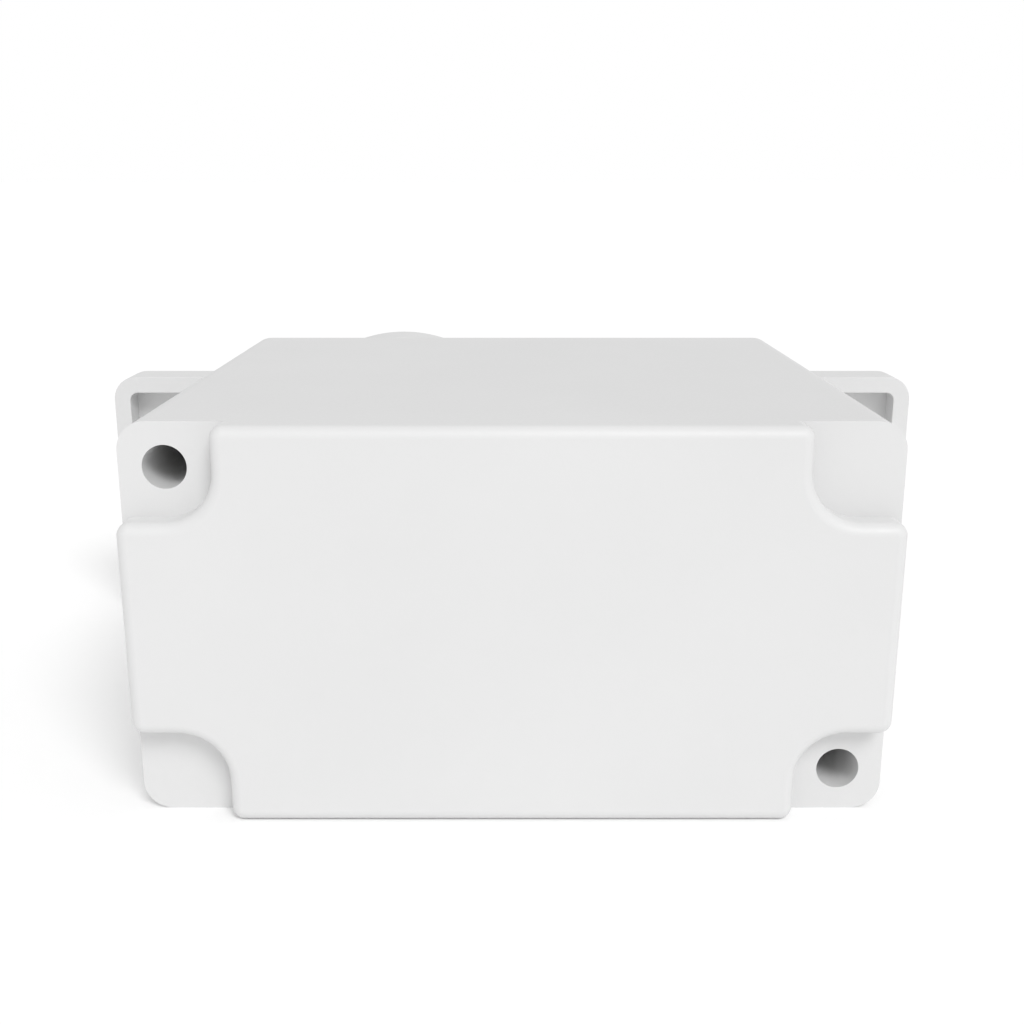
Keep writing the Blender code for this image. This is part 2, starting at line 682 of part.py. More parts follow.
def make_closing_screw(name, place, material):
    """One closing screw with its captive washer, in its counterbore, with a cross recess in its head."""
    x, z = place
    head_y = SCREW_SEAT_Y + SCREW_STACK
    sizes = (SCREW_DIAMETER, SCREW_LENGTH, SCREW_HEAD_DIAMETER, SCREW_HEAD_HEIGHT)
    screw = pan_head_screw(f"closing_screw_{name}", (x, head_y, z), TURN_TO_REAR, sizes, material)
    floor = head_y + SCREW_HEAD_HEIGHT - SCREW_RECESS_DEPTH
    rear = head_y + SCREW_HEAD_HEIGHT + OVERRUN
    long, thin = SCREW_RECESS_LENGTH / 2, SCREW_RECESS_WIDTH / 2
    flat_slot = block(f"recess_flat_{name}", (x - long, floor, z - thin), (x + long, rear, z + thin))
    upright_slot = block(f"recess_upright_{name}", (x - thin, floor, z - long), (x + thin, rear, z + long))
    cut(screw, flat_slot, upright_slot)

    washer_outer = WASHER_DIAMETER / 2
    profile = [
        (SCREW_HOLE_RADIUS, WASHER_THICKNESS),
        (washer_outer, WASHER_THICKNESS),
        (washer_outer, 0),
        (SCREW_HOLE_RADIUS, 0),
    ]
    seat = (x, SCREW_SEAT_Y + CLEARANCE, z)
    washer = turned(f"closing_washer_{name}", profile, seat, TURN_TO_REAR, SMALL_SIDES)
    return screw, as_part(washer, f"closing_washer_{name}", material)


def make_board(material):
    """The circuit board, stepping round the upper left post and the lower screw boss."""
    notch = SCREW_BOSS_RADIUS + BOARD_POST_GAP
    x, z = LOWER_SCREW
    step_x = -POST_X + POST_RADIUS + BOARD_POST_GAP
    step_z = MID_Z + POST_RISE - POST_RADIUS - BOARD_POST_GAP
    outline = [(BOARD_LEFT, BOARD_BOTTOM), (x - notch, BOARD_BOTTOM)]
    outline += arc((x, z), notch, 180, 0, 2 * ARC_STEPS)
    outline += [(x + notch, BOARD_BOTTOM), (BOARD_RIGHT, BOARD_BOTTOM), (BOARD_RIGHT, BOARD_TOP)]
    outline += [(step_x, BOARD_TOP), (step_x, step_z), (BOARD_LEFT, step_z)]
    board = extrusion("circuit_board", [outline], (0, 0), BOARD_FRONT_Y, BOARD_BACK_Y)
    for i, place in enumerate(STANDOFFS):
        front = BOARD_FRONT_Y - OVERRUN
        cut(board, rod(f"board_hole_{i}", BOARD_HOLE_RADIUS, place, front, BOARD_BACK_Y + OVERRUN))
    return as_part(board, "circuit_board", material)


def make_board_screws(material):
    """Four small screws that hold the board on the standoffs."""
    sizes = (BOARD_SCREW_DIAMETER, BOARD_SCREW_LENGTH, BOARD_SCREW_HEAD_DIAMETER, BOARD_SCREW_HEAD_HEIGHT)
    seat_y = BOARD_FRONT_Y - CLEARANCE
    for i, (x, z) in enumerate(STANDOFFS):
        pan_head_screw(f"board_screw_{i + 1}", (x, seat_y, z), TURN_TO_FRONT, sizes, material)


def make_varistor(name, x, z, material):
    """A coated varistor disc that stands on its two leads."""
    radius = VARISTOR_DIAMETER / 2
    half = VARISTOR_THICKNESS / 2
    centre_y = BOARD_FRONT_Y - VARISTOR_LIFT - radius
    profile = [(0, half)]
    profile += arc((radius - half, 0), half, 90, -90)
    profile += [(0, -half)]
    disc = turned(name, profile, (x, centre_y, z), (0, 0, 0), SMALL_SIDES, closed=False)
    for side in (-1, 1):
        lead = (x + side * VARISTOR_LEAD_PITCH / 2, z)
        end = BOARD_FRONT_Y - CLEARANCE
        join(disc, rod(f"{name}_lead_{side}", LEAD_DIAMETER / 2, lead, centre_y, end, LEAD_SIDES))
    return as_part(disc, name, material)


def make_thermal_fuse(name, x, z, material):
    """A thermal fuse between two discs, on a lead bent down at each end."""
    y = BOARD_FRONT_Y - FUSE_LIFT
    half = FUSE_LEAD_PITCH / 2
    end = BOARD_FRONT_Y - CLEARANCE
    corner = LEAD_DIAMETER
    route = [
        (x - half, end, z),
        (x - half, y + corner, z),
        (x - half + corner, y, z),
        (x + half - corner, y, z),
        (x + half, y + corner, z),
        (x + half, end, z),
    ]
    fuse = wire(name, route, LEAD_DIAMETER)
    bpy.ops.mesh.primitive_cylinder_add(
        vertices=SMALL_SIDES,
        radius=FUSE_DIAMETER / 2,
        depth=FUSE_LENGTH,
        location=(x, y, z),
        rotation=(0, math.pi / 2, 0),
    )
    body = bpy.context.object
    body.name = f"{name}_body"
    join(fuse, body)
    return as_part(fuse, name, material)


def make_gas_tube(material):
    """A gas discharge tube with a wider cap at each end, on two leads."""
    x = BOARD_LEFT + GAS_TUBE_EDGE
    radius = GAS_TUBE_RADIUS
    half = GAS_TUBE_LENGTH / 2
    waist = radius - GAS_TUBE_CAP_LIP
    profile = [
        (0, half),
        (radius, half),
        (radius, half - GAS_TUBE_CAP),
        (waist, half - GAS_TUBE_CAP),
        (waist, GAS_TUBE_CAP - half),
        (radius, GAS_TUBE_CAP - half),
        (radius, -half),
        (0, -half),
    ]
    y = BOARD_FRONT_Y - COMPONENT_LIFT - radius
    place = (x, y, SMALL_ROW_Z)
    tube = turned("gas_tube", profile, place, (0, math.pi / 2, 0), SMALL_SIDES, closed=False)
    for side in (-1, 1):
        lead = (x + side * (half - GAS_TUBE_CAP / 2), SMALL_ROW_Z)
        end = BOARD_FRONT_Y - CLEARANCE
        join(tube, rod(f"gas_tube_lead_{side}", LEAD_DIAMETER / 2, lead, y, end, LEAD_SIDES))
    return as_part(tube, "gas_tube", material)


def make_capacitor(name, x, material):
    """A box film capacitor on two leads, upright on the board."""
    half_width = CAPACITOR_WIDTH / 2
    half_length = CAPACITOR_LENGTH / 2
    rear = BOARD_FRONT_Y - COMPONENT_LIFT
    box = block(
        name,
        (x - half_width, rear - CAPACITOR_HEIGHT, SMALL_ROW_Z - half_length),
        (x + half_width, rear, SMALL_ROW_Z + half_length),
    )
    bevel = box.modifiers.new("edges", "BEVEL")
    bevel.width = CAPACITOR_EDGE_RADIUS
    bevel.segments = CASE_EDGE_STEPS
    for side in (-1, 1):
        lead = (x, SMALL_ROW_Z + side * (half_length - CAPACITOR_LEAD_INSET))
        start = rear - CAPACITOR_HEIGHT / 2
        end = BOARD_FRONT_Y - CLEARANCE
        join(box, rod(f"{name}_lead_{side}", LEAD_DIAMETER / 2, lead, start, end, LEAD_SIDES))
    return as_part(box, name, material)


def make_terminal(name, x, z, material):
    """A tab terminal on the rear of the board, in line with the nipple's bore, with a hole for a lead."""
    half_width = TERMINAL_WIDTH / 2
    half_thick = TERMINAL_THICKNESS / 2
    half_foot = TERMINAL_FOOT_DEPTH / 2
    root = BOARD_BACK_Y + CLEARANCE
    tab = block(
        name,
        (x - half_width, root, z - half_thick),
        (x + half_width, root + TERMINAL_LENGTH, z + half_thick),
    )
    foot = block(
        f"{name}_foot",
        (x - half_width, root, z - half_foot),
        (x + half_width, root + TERMINAL_FOOT_HEIGHT, z + half_foot),
    )
    join(tab, foot)
    bpy.ops.mesh.primitive_cylinder_add(
        vertices=SMALL_SIDES,
        radius=TERMINAL_HOLE_DIAMETER / 2,
        depth=TERMINAL_THICKNESS + 2 * OVERRUN,
        location=(x, root + TERMINAL_LENGTH - TERMINAL_HOLE_DIAMETER, z),
    )
    hole = bpy.context.object
    hole.name = f"{name}_hole"
    cut(tab, hole)
    return as_part(tab, name, material)


def main():
    """Build every sub-part."""
    moulded = finish("moulded_pale_grey", PALE_GREY, MOULDED_ROUGHNESS)
    seal = finish("seal_rubber", SEAL_BLACK, RUBBER_ROUGHNESS)
    zinc = finish("zinc_plated_steel", ZINC_GREY, METAL_ROUGHNESS, metallic=1.0)
    make_housing(moulded)
    make_base(moulded)
    make_gasket(seal)
    make_nipple(moulded)
    make_sealing_ring(seal)
    make_locknut(moulded)
    make_closing_screw("upper", UPPER_SCREW, zinc)
    make_closing_screw("lower", LOWER_SCREW, zinc)
    make_board(finish("glass_epoxy_board", BOARD_GREEN, COATED_ROUGHNESS))
    make_board_screws(zinc)

    epoxy = finish("varistor_epoxy", EPOXY_BLUE, COATED_ROUGHNESS)
    fuse = finish("thermal_fuse_case", FUSE_CREAM, MOULDED_ROUGHNESS)
    middle_row = (UPPER_ROW_Z + LOWER_ROW_Z) / 2
    for line, x in zip(("line_1", "line_2"), COLUMN_X):
        make_varistor(f"varistor_{line}_neutral", x, UPPER_ROW_Z, epoxy)
        make_varistor(f"varistor_{line}_ground", x, LOWER_ROW_Z, epoxy)
        make_thermal_fuse(f"thermal_fuse_{line}", x, middle_row, fuse)

    make_gas_tube(finish("gas_tube_ceramic", CERAMIC_WHITE, COATED_ROUGHNESS))
    case = finish("capacitor_case", CASE_YELLOW, MOULDED_ROUGHNESS)
    aside = SCREW_BOSS_RADIUS + CAPACITOR_GAP + CAPACITOR_WIDTH / 2
    make_capacitor("filter_capacitor_line_1", LOWER_SCREW_X - aside, case)
    make_capacitor("filter_capacitor_line_2", LOWER_SCREW_X + aside, case)
    brass = finish("terminal_brass", BRASS, METAL_ROUGHNESS, metallic=1.0)
    corners = (("line_1", -1, 1), ("line_2", 1, 1), ("neutral", -1, -1), ("ground", 1, -1))
    for name, across, up in corners:
        x = NIPPLE_X + across * TERMINAL_PITCH_X / 2
        z = MID_Z + up * TERMINAL_PITCH_Z / 2
        make_terminal(f"lead_terminal_{name}", x, z, brass)


main()
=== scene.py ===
"""Looks of a whole house surge protector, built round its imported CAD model.

The part is a deep moulded box on an eared base, with a conduit nipple at the rear. Metres, +Z up. The front
panel faces -Y and the mounting side faces +Y.
"""

from __future__ import annotations

import logging
import math
from dataclasses import dataclass
from enum import Enum
from functools import cache
from typing import Callable, Iterable, Sequence

import bmesh
import bpy
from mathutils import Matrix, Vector

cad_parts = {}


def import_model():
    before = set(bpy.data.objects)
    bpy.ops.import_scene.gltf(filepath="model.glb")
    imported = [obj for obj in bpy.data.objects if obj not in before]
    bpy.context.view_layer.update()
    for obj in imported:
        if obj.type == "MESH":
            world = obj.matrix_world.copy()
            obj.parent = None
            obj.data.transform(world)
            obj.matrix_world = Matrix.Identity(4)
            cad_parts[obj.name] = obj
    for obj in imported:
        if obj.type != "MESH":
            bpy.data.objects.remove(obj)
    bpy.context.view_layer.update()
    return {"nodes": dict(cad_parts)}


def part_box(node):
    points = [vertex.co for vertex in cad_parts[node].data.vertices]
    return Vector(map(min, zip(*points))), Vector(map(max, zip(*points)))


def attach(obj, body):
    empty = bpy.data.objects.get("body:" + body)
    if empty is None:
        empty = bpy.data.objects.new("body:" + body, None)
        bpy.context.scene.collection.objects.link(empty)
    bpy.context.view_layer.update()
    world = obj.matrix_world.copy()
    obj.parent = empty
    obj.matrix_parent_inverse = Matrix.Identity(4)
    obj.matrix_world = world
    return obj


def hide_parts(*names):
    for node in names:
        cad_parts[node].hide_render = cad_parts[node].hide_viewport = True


Piece = bpy.types.Object
Point = tuple[float, float]
Socket = bpy.types.NodeSocket
LOG = logging.getLogger("surge_protector")

MM = 0.001
# Points closer than TOUCH are one point, and those that a cut leaves closer than MERGE become one.
TOUCH = 0.001 * MM
MERGE = 3 * TOUCH
# A point this close to a plane or a wall counts as lying on it.
ON_FACE = 10 * TOUCH
# How far a tool shape runs past the piece that it cuts.
OVERRUN = 1.0 * MM
# Facets round a big, a middling and a small round form, and along a corner's arc.
BIG_SIDES = 96
MID_SIDES = 64
SMALL_SIDES = 32
ARC_STEPS = 10
BROKEN_SEGMENTS = 2
# Faces that meet at less than FLAT_DEGREES are one face, and edges past SHARP_DEGREES stay sharp to the eye.
FLAT_DEGREES = 0.5
SHARP_DEGREES = 40.0
# Left and right, or lower and upper.
SIDES = (-1, 1)
# A skew direction to put a mesh in order along, so that points at the same x, y or z don't tie.
SORT_WAY = Vector((0.37, 0.71, 1.0))


class Cut(Enum):
    """How a tool shape meets the piece that it shapes."""

    TAKE = "DIFFERENCE"
    ADD = "UNION"


class Facing(Enum):
    """Which way a screw's head looks."""

    REAR = "+Y"
    FRONT = "-Y"


class Axis(Enum):
    """An axis to turn a profile about, with the direction that its radius starts in."""

    X = ((1, 0, 0), (0, 0, 1))
    Y = ((0, 1, 0), (1, 0, 0))
    Z = ((0, 0, 1), (1, 0, 0))

    @property
    def along(self) -> Vector:
        """The axis itself."""
        return Vector(self.value[0])

    @property
    def across(self) -> Vector:
        """The direction of the profile's radius."""
        return Vector(self.value[1])


def arc(centre: Point, radius: float, start: float, end: float, steps: int = ARC_STEPS) -> list[Point]:
    """Points along an arc, with both ends.

    Args:
        centre: Middle of the arc.
        radius: Radius in metres.
        start: First angle in degrees.
        end: Last angle in degrees.
        steps: Number of straight runs.

    Returns:
        The points in order.
    """
    angles = [math.radians(start + (end - start) * i / steps) for i in range(steps + 1)]
    return [(centre[0] + radius * math.cos(a), centre[1] + radius * math.sin(a)) for a in angles]


def four_corners(corner: Sequence[Point], other: Sequence[Point] | None = None) -> list[Point]:
    """Mirror an upper right corner into a closed outline.

    Args:
        corner: Points of the upper right corner, from the side to the top.
        other: Form of the upper left and lower right corners, where it differs.

    Returns:
        The outline, about its own middle.
    """
    other = corner if other is None else other
    upper_left = [(-x, z) for x, z in reversed(other)]
    lower_left = [(-x, -z) for x, z in corner]
    lower_right = [(x, -z) for x, z in reversed(other)]
    return [*corner, *upper_left, *lower_left, *lower_right]


def rounded(half_width: float, half_height: float, radius: float) -> list[Point]:
    """A rectangle with round corners, about its own middle.

    Args:
        half_width: Half of its width.
        half_height: Half of its height.
        radius: Radius of its corners.

    Returns:
        The outline.
    """
    return four_corners(arc((half_width - radius, half_height - radius), radius, 0, 90))


def lies_at(y: float, *points: Vector) -> bool:
    """Whether points all lie in one plane across Y."""
    return all(abs(point.y - y) < ON_FACE for point in points)


def middle_of(node: str) -> Point:
    """Middle of a CAD node's box, as (x, z)."""
    low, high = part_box(node)
    return ((low.x + high.x) / 2, (low.z + high.z) / 2)


def only(item: Piece) -> None:
    """Make one object the only selected one, and the active one.

    Args:
        item: The object to work on next.
    """
    bpy.ops.object.select_all(action="DESELECT")
    item.select_set(True)
    bpy.context.view_layer.objects.active = item


def face_out() -> None:
    """Turn every face of the shape in edit mode outwards, and go back to object mode."""
    bpy.ops.mesh.select_all(action="SELECT")
    bpy.ops.mesh.normals_make_consistent(inside=False)
    bpy.ops.object.mode_set(mode="OBJECT")


def drawn(points: Sequence[Vector], filled: bool) -> Piece:
    """Draw a closed line, and stay in edit mode with all of it selected.

    Args:
        points: Its points in order.
        filled: Whether it holds a face.

    Returns:
        The new object.
    """
    bpy.ops.object.select_all(action="DESELECT")
    bpy.ops.mesh.primitive_circle_add(
        vertices=len(points), fill_type="NGON" if filled else "NOTHING", enter_editmode=True
    )
    item = bpy.context.object
    shape = bmesh.from_edit_mesh(item.data)
    for vert, point in zip(shape.verts, points):
        vert.co = point
    bmesh.update_edit_mesh(item.data)
    bpy.ops.mesh.select_all(action="SELECT")
    return item


def slab(outline: Sequence[Point], place: Point, front: float, rear: float) -> Piece:
    """Extrude a flat outline along Y.

    Args:
        outline: Points (x, z) about the place.
        place: Where the outline's own middle lies.
        front: Y of its front face.
        rear: Y of its rear face.

    Returns:
        The new object.
    """
    item = drawn([Vector((place[0] + x, front, place[1] + z)) for x, z in outline], True)
    bpy.ops.mesh.extrude_region_move(TRANSFORM_OT_translate={"value": (0, rear - front, 0)})
    face_out()
    return item


def spun(profile: Sequence[Point], centre: Vector, axis: Axis, sides: int) -> Piece:
    """Turn a closed profile about an axis.

    Args:
        profile: Points (radius, distance along the axis), in order round the profile.
        centre: Point on the axis that the distances count from.
        axis: The axis to turn about.
        sides: Number of facets round it.

    Returns:
        The new object.
    """
    item = drawn([centre + axis.across * radius + axis.along * along for radius, along in profile], False)
    bpy.ops.mesh.spin(steps=sides, angle=math.tau, center=centre, axis=axis.along)
    bpy.ops.mesh.select_all(action="SELECT")
    bpy.ops.mesh.remove_doubles(threshold=TOUCH)
    bpy.ops.mesh.delete_loose(use_verts=True, use_edges=True, use_faces=False)
    face_out()
    return item


def block(low: Sequence[float], high: Sequence[float]) -> Piece:
    """A plain box, used to cut or to build up another piece.

    Args:
        low: Lowest corner.
        high: Highest corner.

    Returns:
        The new object.
    """
    bpy.ops.object.select_all(action="DESELECT")
    bpy.ops.mesh.primitive_cube_add(size=1, location=[(a + b) / 2 for a, b in zip(low, high)])
    item = bpy.context.object
    item.scale = [b - a for a, b in zip(low, high)]
    bpy.ops.object.transform_apply(location=True, rotation=True, scale=True)
    return item


def rod(radius: float, place: Point, front: float, rear: float, sides: int = SMALL_SIDES) -> Piece:
    """A round bar along Y, used to cut or to build up another piece.

    Args:
        radius: Radius of the bar.
        place: Its axis, as (x, z).
        front: Y of its front end.
        rear: Y of its rear end.
        sides: Number of facets round it.

    Returns:
        The new object.
    """
    bpy.ops.object.select_all(action="DESELECT")
    bpy.ops.mesh.primitive_cylinder_add(
        vertices=sides,
        radius=radius,
        depth=rear - front,
        location=(place[0], (front + rear) / 2, place[1]),
        rotation=(math.pi / 2, 0, 0),
    )
    bpy.ops.object.transform_apply(location=True, rotation=True, scale=True)
    return bpy.context.object


def clean(item: Piece) -> None:
    """Merge doubled points, drop faces without area and turn every face outwards.

    A boolean leaves its points, edges and faces in no fixed order. They are put in order first, so that the
    same points are merged each run.

    Args:
        item: The piece.
    """
    only(item)
    bpy.ops.object.mode_set(mode="EDIT")
    shape = bmesh.from_edit_mesh(item.data)
    shape.verts.sort(key=lambda vert: vert.co.dot(SORT_WAY))
    shape.edges.sort(key=lambda edge: (edge.verts[0].co + edge.verts[1].co).dot(SORT_WAY))
    shape.faces.sort(key=lambda face: face.calc_center_median().dot(SORT_WAY))
    bmesh.update_edit_mesh(item.data)
    bpy.ops.mesh.select_all(action="SELECT")
    bpy.ops.mesh.remove_doubles(threshold=MERGE)
    bpy.ops.mesh.dissolve_degenerate(threshold=MERGE)
    face_out()


def combine(item: Piece, how: Cut, tools: Iterable[Piece]) -> None:
    """Shape a piece with tool shapes, which are used up.

    Args:
        item: The piece.
        how: Whether the tools are taken away or added.
        tools: The tool shapes.
    """
    for tool in tools:
        modifier = item.modifiers.new("shape", "BOOLEAN")
        modifier.operation = how.value
        modifier.solver = "EXACT"
        modifier.object = tool
        only(item)
        bpy.ops.object.modifier_apply(modifier=modifier.name)
        bpy.data.objects.remove(tool, do_unlink=True)
    clean(item)


def round_edges(item: Piece, chosen: Callable[[Vector, Vector], bool], width: float, segments: int) -> None:
    """Bevel the edges whose two ends pass a test.

    Args:
        item: The piece.
        chosen: Test on the two ends of an edge.
        width: Radius of the rounding.
        segments: Number of facets across it.
    """
    only(item)
    bpy.ops.object.mode_set(mode="EDIT")
    bpy.ops.mesh.select_mode(type="EDGE")
    bpy.ops.mesh.select_all(action="SELECT")
    bpy.ops.mesh.dissolve_limited(angle_limit=math.radians(FLAT_DEGREES))
    bpy.ops.mesh.select_all(action="DESELECT")
    shape = bmesh.from_edit_mesh(item.data)
    for edge in shape.edges:
        edge.select_set(chosen(edge.verts[0].co, edge.verts[1].co))
    bmesh.update_edit_mesh(item.data)
    bpy.ops.mesh.bevel(offset=width, segments=segments, profile=0.5, affect="EDGES")
    bpy.ops.object.mode_set(mode="OBJECT")
    clean(item)


def break_edges(item: Piece, width: float) -> None:
    """Bevel every sharp edge of a piece.

    Args:
        item: The piece.
        width: Width of the broken edge.
    """
    only(item)
    edges = item.modifiers.new("edges", "BEVEL")
    edges.width = width
    edges.segments = BROKEN_SEGMENTS
    edges.limit_method = "ANGLE"
    edges.angle_limit = math.radians(SHARP_DEGREES)
    bpy.ops.object.modifier_apply(modifier=edges.name)


def joined(items: Sequence[Piece]) -> Piece:
    """Put several shapes in one object, each with its own material.

    Args:
        items: The shapes, the first of which stays.

    Returns:
        The object that holds them all.
    """
    only(items[0])
    for item in items:
        item.select_set(True)
    bpy.ops.object.join()
    return items[0]


def spread(item: Piece, places: Sequence[Point]) -> list[Piece]:
    """Copy a piece to more places, each copy with a mesh of its own.

    Args:
        item: The piece, which stands at the first place.
        places: All its places, as (x, z).

    Returns:
        The piece and its copies, in the order of their places.
    """
    made = [item]
    for x, z in places[1:]:
        only(item)
        bpy.ops.object.duplicate(linked=False)
        twin = bpy.context.object
        twin.location = (x - places[0][0], 0, z - places[0][1])
        bpy.ops.object.transform_apply(location=True, rotation=True, scale=True)
        made.append(twin)
    return made


def install(item: Piece, name: str, body: str, nodes: Sequence[str]) -> None:
    """Name a finished piece and fix it to its CAD body.

    Args:
        item: The piece.
        name: Its name.
        body: The body that it moves with.
        nodes: The CAD nodes that it stands for.
    """
    item.name = name
    item.data.name = name
    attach(item, body)
    if nodes:
        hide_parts(*nodes)
    LOG.info("%s: %d faces on %s", name, len(item.data.polygons), body)


def linear(shade: str) -> tuple[float, float, float, float]:
    """Turn an sRGB hex colour into linear light, by the standard curve.

    Args:
        shade: Six hex digits.

    Returns:
        Red, green, blue and alpha.
    """
    parts = [int(shade[i : i + 2], 16) / 255 for i in (0, 2, 4)]
    red, green, blue = (p / 12.92 if p <= 0.04045 else ((p + 0.055) / 1.055) ** 2.4 for p in parts)
    return (red, green, blue, 1.0)


def per_size(size_mm: float) -> float:
    """Texture scale at which one feature is this many millimetres across."""
    return 1 / (size_mm * MM)


def add_node(
    tree: bpy.types.NodeTree, kind: str, settings: dict[str, object], links: dict[str | int, Socket]
) -> bpy.types.Node:
    """Add one node to a material or to the world.

    Args:
        tree: The nodes to add it to.
        kind: Blender's name for the kind of node.
        settings: Values of its sockets or of its own properties, by name.
        links: What feeds its sockets, by name or by number.

    Returns:
        The new node.
    """
    node = tree.nodes.new(kind)
    for key, value in settings.items():
        if key in node.inputs:
            node.inputs[key].default_value = value
        else:
            setattr(node, key, value)
    for key, source in links.items():
        tree.links.new(source, node.inputs[key])
    return node


@dataclass(frozen=True)
class Finish:
    """A surface whose tone, shine and relief each follow a pattern in the piece's own coordinates.

    The tone goes from low_shade to high_shade as its pattern rises. What shine_range adds to the roughness
    goes from its first value to its second as its pattern rises through the band.
    """

    name: str
    low_shade: str
    high_shade: str
    roughness: float = 0.5
    shine_range: Point = (-0.08, 0.08)
    band: Point = (0.3, 0.7)
    relief_mm: float = 0.02
    relief_strength: float = 0.4
    ior: float = 1.5
    metallic: float = 0.0

    def patterns(self, tree: bpy.types.NodeTree, place: Socket) -> tuple[Socket, Socket, Socket]:
        """Add the finish's own textures.

        Args:
            tree: The material's nodes.
            place: The piece's own coordinates.

        Returns:
            What the tone, the shine and the relief follow.
        """
        raise NotImplementedError

    def material(self) -> bpy.types.Material:
        """Build the material.

        Returns:
            The new material.
        """
        material = bpy.data.materials.new(self.name)
        material.use_nodes = True
        tree = material.node_tree
        place = add_node(tree, "ShaderNodeTexCoord", {}, {})
        tone, shine, relief = self.patterns(tree, place.outputs["Object"])
        mixed = add_node(
            tree,
            "ShaderNodeMixRGB",
            {"Color1": linear(self.low_shade), "Color2": linear(self.high_shade)},
            {"Fac": tone},
        )
        gloss = add_node(
            tree,
            "ShaderNodeMapRange",
            {
                "From Min": self.band[0],
                "From Max": self.band[1],
                "To Min": self.roughness + self.shine_range[0],
                "To Max": self.roughness + self.shine_range[1],
            },
            {"Value": shine},
        )
        bump = add_node(
            tree,
            "ShaderNodeBump",
            {"Strength": self.relief_strength, "Distance": self.relief_mm * MM},
            {"Height": relief},
        )
        shader = tree.nodes["Principled BSDF"]
        shader.inputs["IOR"].default_value = self.ior
        shader.inputs["Metallic"].default_value = self.metallic
        tree.links.new(mixed.outputs["Color"], shader.inputs["Base Color"])
        tree.links.new(gloss.outputs["Result"], shader.inputs["Roughness"])
        tree.links.new(bump.outputs["Normal"], shader.inputs["Normal"])
        return material


@dataclass(frozen=True)
class MouldedPlastic(Finish):
    """Injection moulded plastic from a spark-eroded tool: a fine even grain and a soft, low shine."""

    shine_range: Point = (-0.05, 0.05)
    relief_mm: float = 0.012
    relief_strength: float = 0.35
    ior: float = 1.54
    # The real grain is about 0.1 mm. It is drawn coarser here, so that it shows at all.
    grain_mm: float = 0.45
    flow_mm: float = 26.0

    def patterns(self, tree: bpy.types.NodeTree, place: Socket) -> tuple[Socket, Socket, Socket]:
        """Add the slow drift of tone that melt flow leaves in a moulding, and the grain.

        Args:
            tree: The material's nodes.
            place: The piece's own coordinates.

        Returns:
            What the tone, the shine and the relief follow.
        """
        flow = add_node(
            tree,
            "ShaderNodeTexNoise",
            {"Scale": per_size(self.flow_mm), "Detail": 3.0, "Roughness": 0.55},
            {"Vector": place},
        )
        grain = add_node(
            tree,
            "ShaderNodeTexNoise",
            {"Scale": per_size(self.grain_mm), "Detail": 2.0, "Roughness": 0.6},
            {"Vector": place},
        )
        return flow.outputs["Fac"], grain.outputs["Fac"], grain.outputs["Fac"]


@dataclass(frozen=True)
class Rubber(Finish):
    """Moulded nitrile rubber: nearly black and dull, with a pale bloom in patches."""

    roughness: float = 0.72
    ior: float = 1.52
    bloom_mm: float = 3.2
    bloom_most: float = 0.6
    skin_mm: float = 0.35

    def patterns(self, tree: bpy.types.NodeTree, place: Socket) -> tuple[Socket, Socket, Socket]:
        """Add the bloom, which shows only where its pattern is high, and the skin.

        Args:
            tree: The material's nodes.
            place: The piece's own coordinates.

        Returns:
            What the tone, the shine and the relief follow.
        """
        bloom = add_node(
            tree,
            "ShaderNodeTexNoise",
            {"Scale": per_size(self.bloom_mm), "Detail": 4.0, "Roughness": 0.65},
            {"Vector": place},
        )
        patches = add_node(
            tree,
            "ShaderNodeMapRange",
            {"From Min": 0.5, "From Max": 0.8, "To Min": 0.0, "To Max": self.bloom_most},
            {"Value": bloom.outputs["Fac"]},
        )
        skin = add_node(
            tree,
            "ShaderNodeTexNoise",
            {"Scale": per_size(self.skin_mm), "Detail": 2.0},
            {"Vector": place},
        )
        return patches.outputs["Result"], bloom.outputs["Fac"], skin.outputs["Fac"]


@dataclass(frozen=True)
class Metal(Finish):
    """A plated, tinned or drawn metal: crystal flecks in its tone and a soft, uneven shine."""

    roughness: float = 0.32
    shine_range: Point = (-0.08, 0.1)
    relief_mm: float = 0.006
    relief_strength: float = 0.2
    metallic: float = 1.0
    fleck_mm: float = 0.8
    scratch_mm: float = 0.25

    def patterns(self, tree: bpy.types.NodeTree, place: Socket) -> tuple[Socket, Socket, Socket]:
        """Add the flecks and the fine scratches.

        Args:
            tree: The material's nodes.
            place: The piece's own coordinates.

        Returns:
            What the tone, the shine and the relief follow.
        """
        fleck = add_node(tree, "ShaderNodeTexVoronoi", {"Scale": per_size(self.fleck_mm)}, {"Vector": place})
        scratch = add_node(
            tree,
            "ShaderNodeTexNoise",
            {"Scale": per_size(self.scratch_mm), "Detail": 3.0, "Distortion": 0.6},
            {"Vector": place},
        )
        return fleck.outputs["Distance"], scratch.outputs["Fac"], scratch.outputs["Fac"]


@dataclass(frozen=True)
class DippedCoat(Finish):
    """A dipped or glazed coat: glossy, with the gentle orange peel that a coat leaves as it sets."""

    roughness: float = 0.28
    shine_range: Point = (-0.06, 0.08)
    relief_mm: float = 0.05
    relief_strength: float = 0.5
    ior: float = 1.56
    peel_mm: float = 1.1
    speck_mm: float = 0.3

    def patterns(self, tree: bpy.types.NodeTree, place: Socket) -> tuple[Socket, Socket, Socket]:
        """Add the orange peel and the specks.

        Args:
            tree: The material's nodes.
            place: The piece's own coordinates.

        Returns:
            What the tone, the shine and the relief follow.
        """
        peel = add_node(
            tree,
            "ShaderNodeTexNoise",
            {"Scale": per_size(self.peel_mm), "Detail": 1.5, "Roughness": 0.4},
            {"Vector": place},
        )
        speck = add_node(
            tree,
            "ShaderNodeTexNoise",
            {"Scale": per_size(self.speck_mm), "Detail": 2.0},
            {"Vector": place},
        )
        return speck.outputs["Fac"], peel.outputs["Fac"], peel.outputs["Fac"]


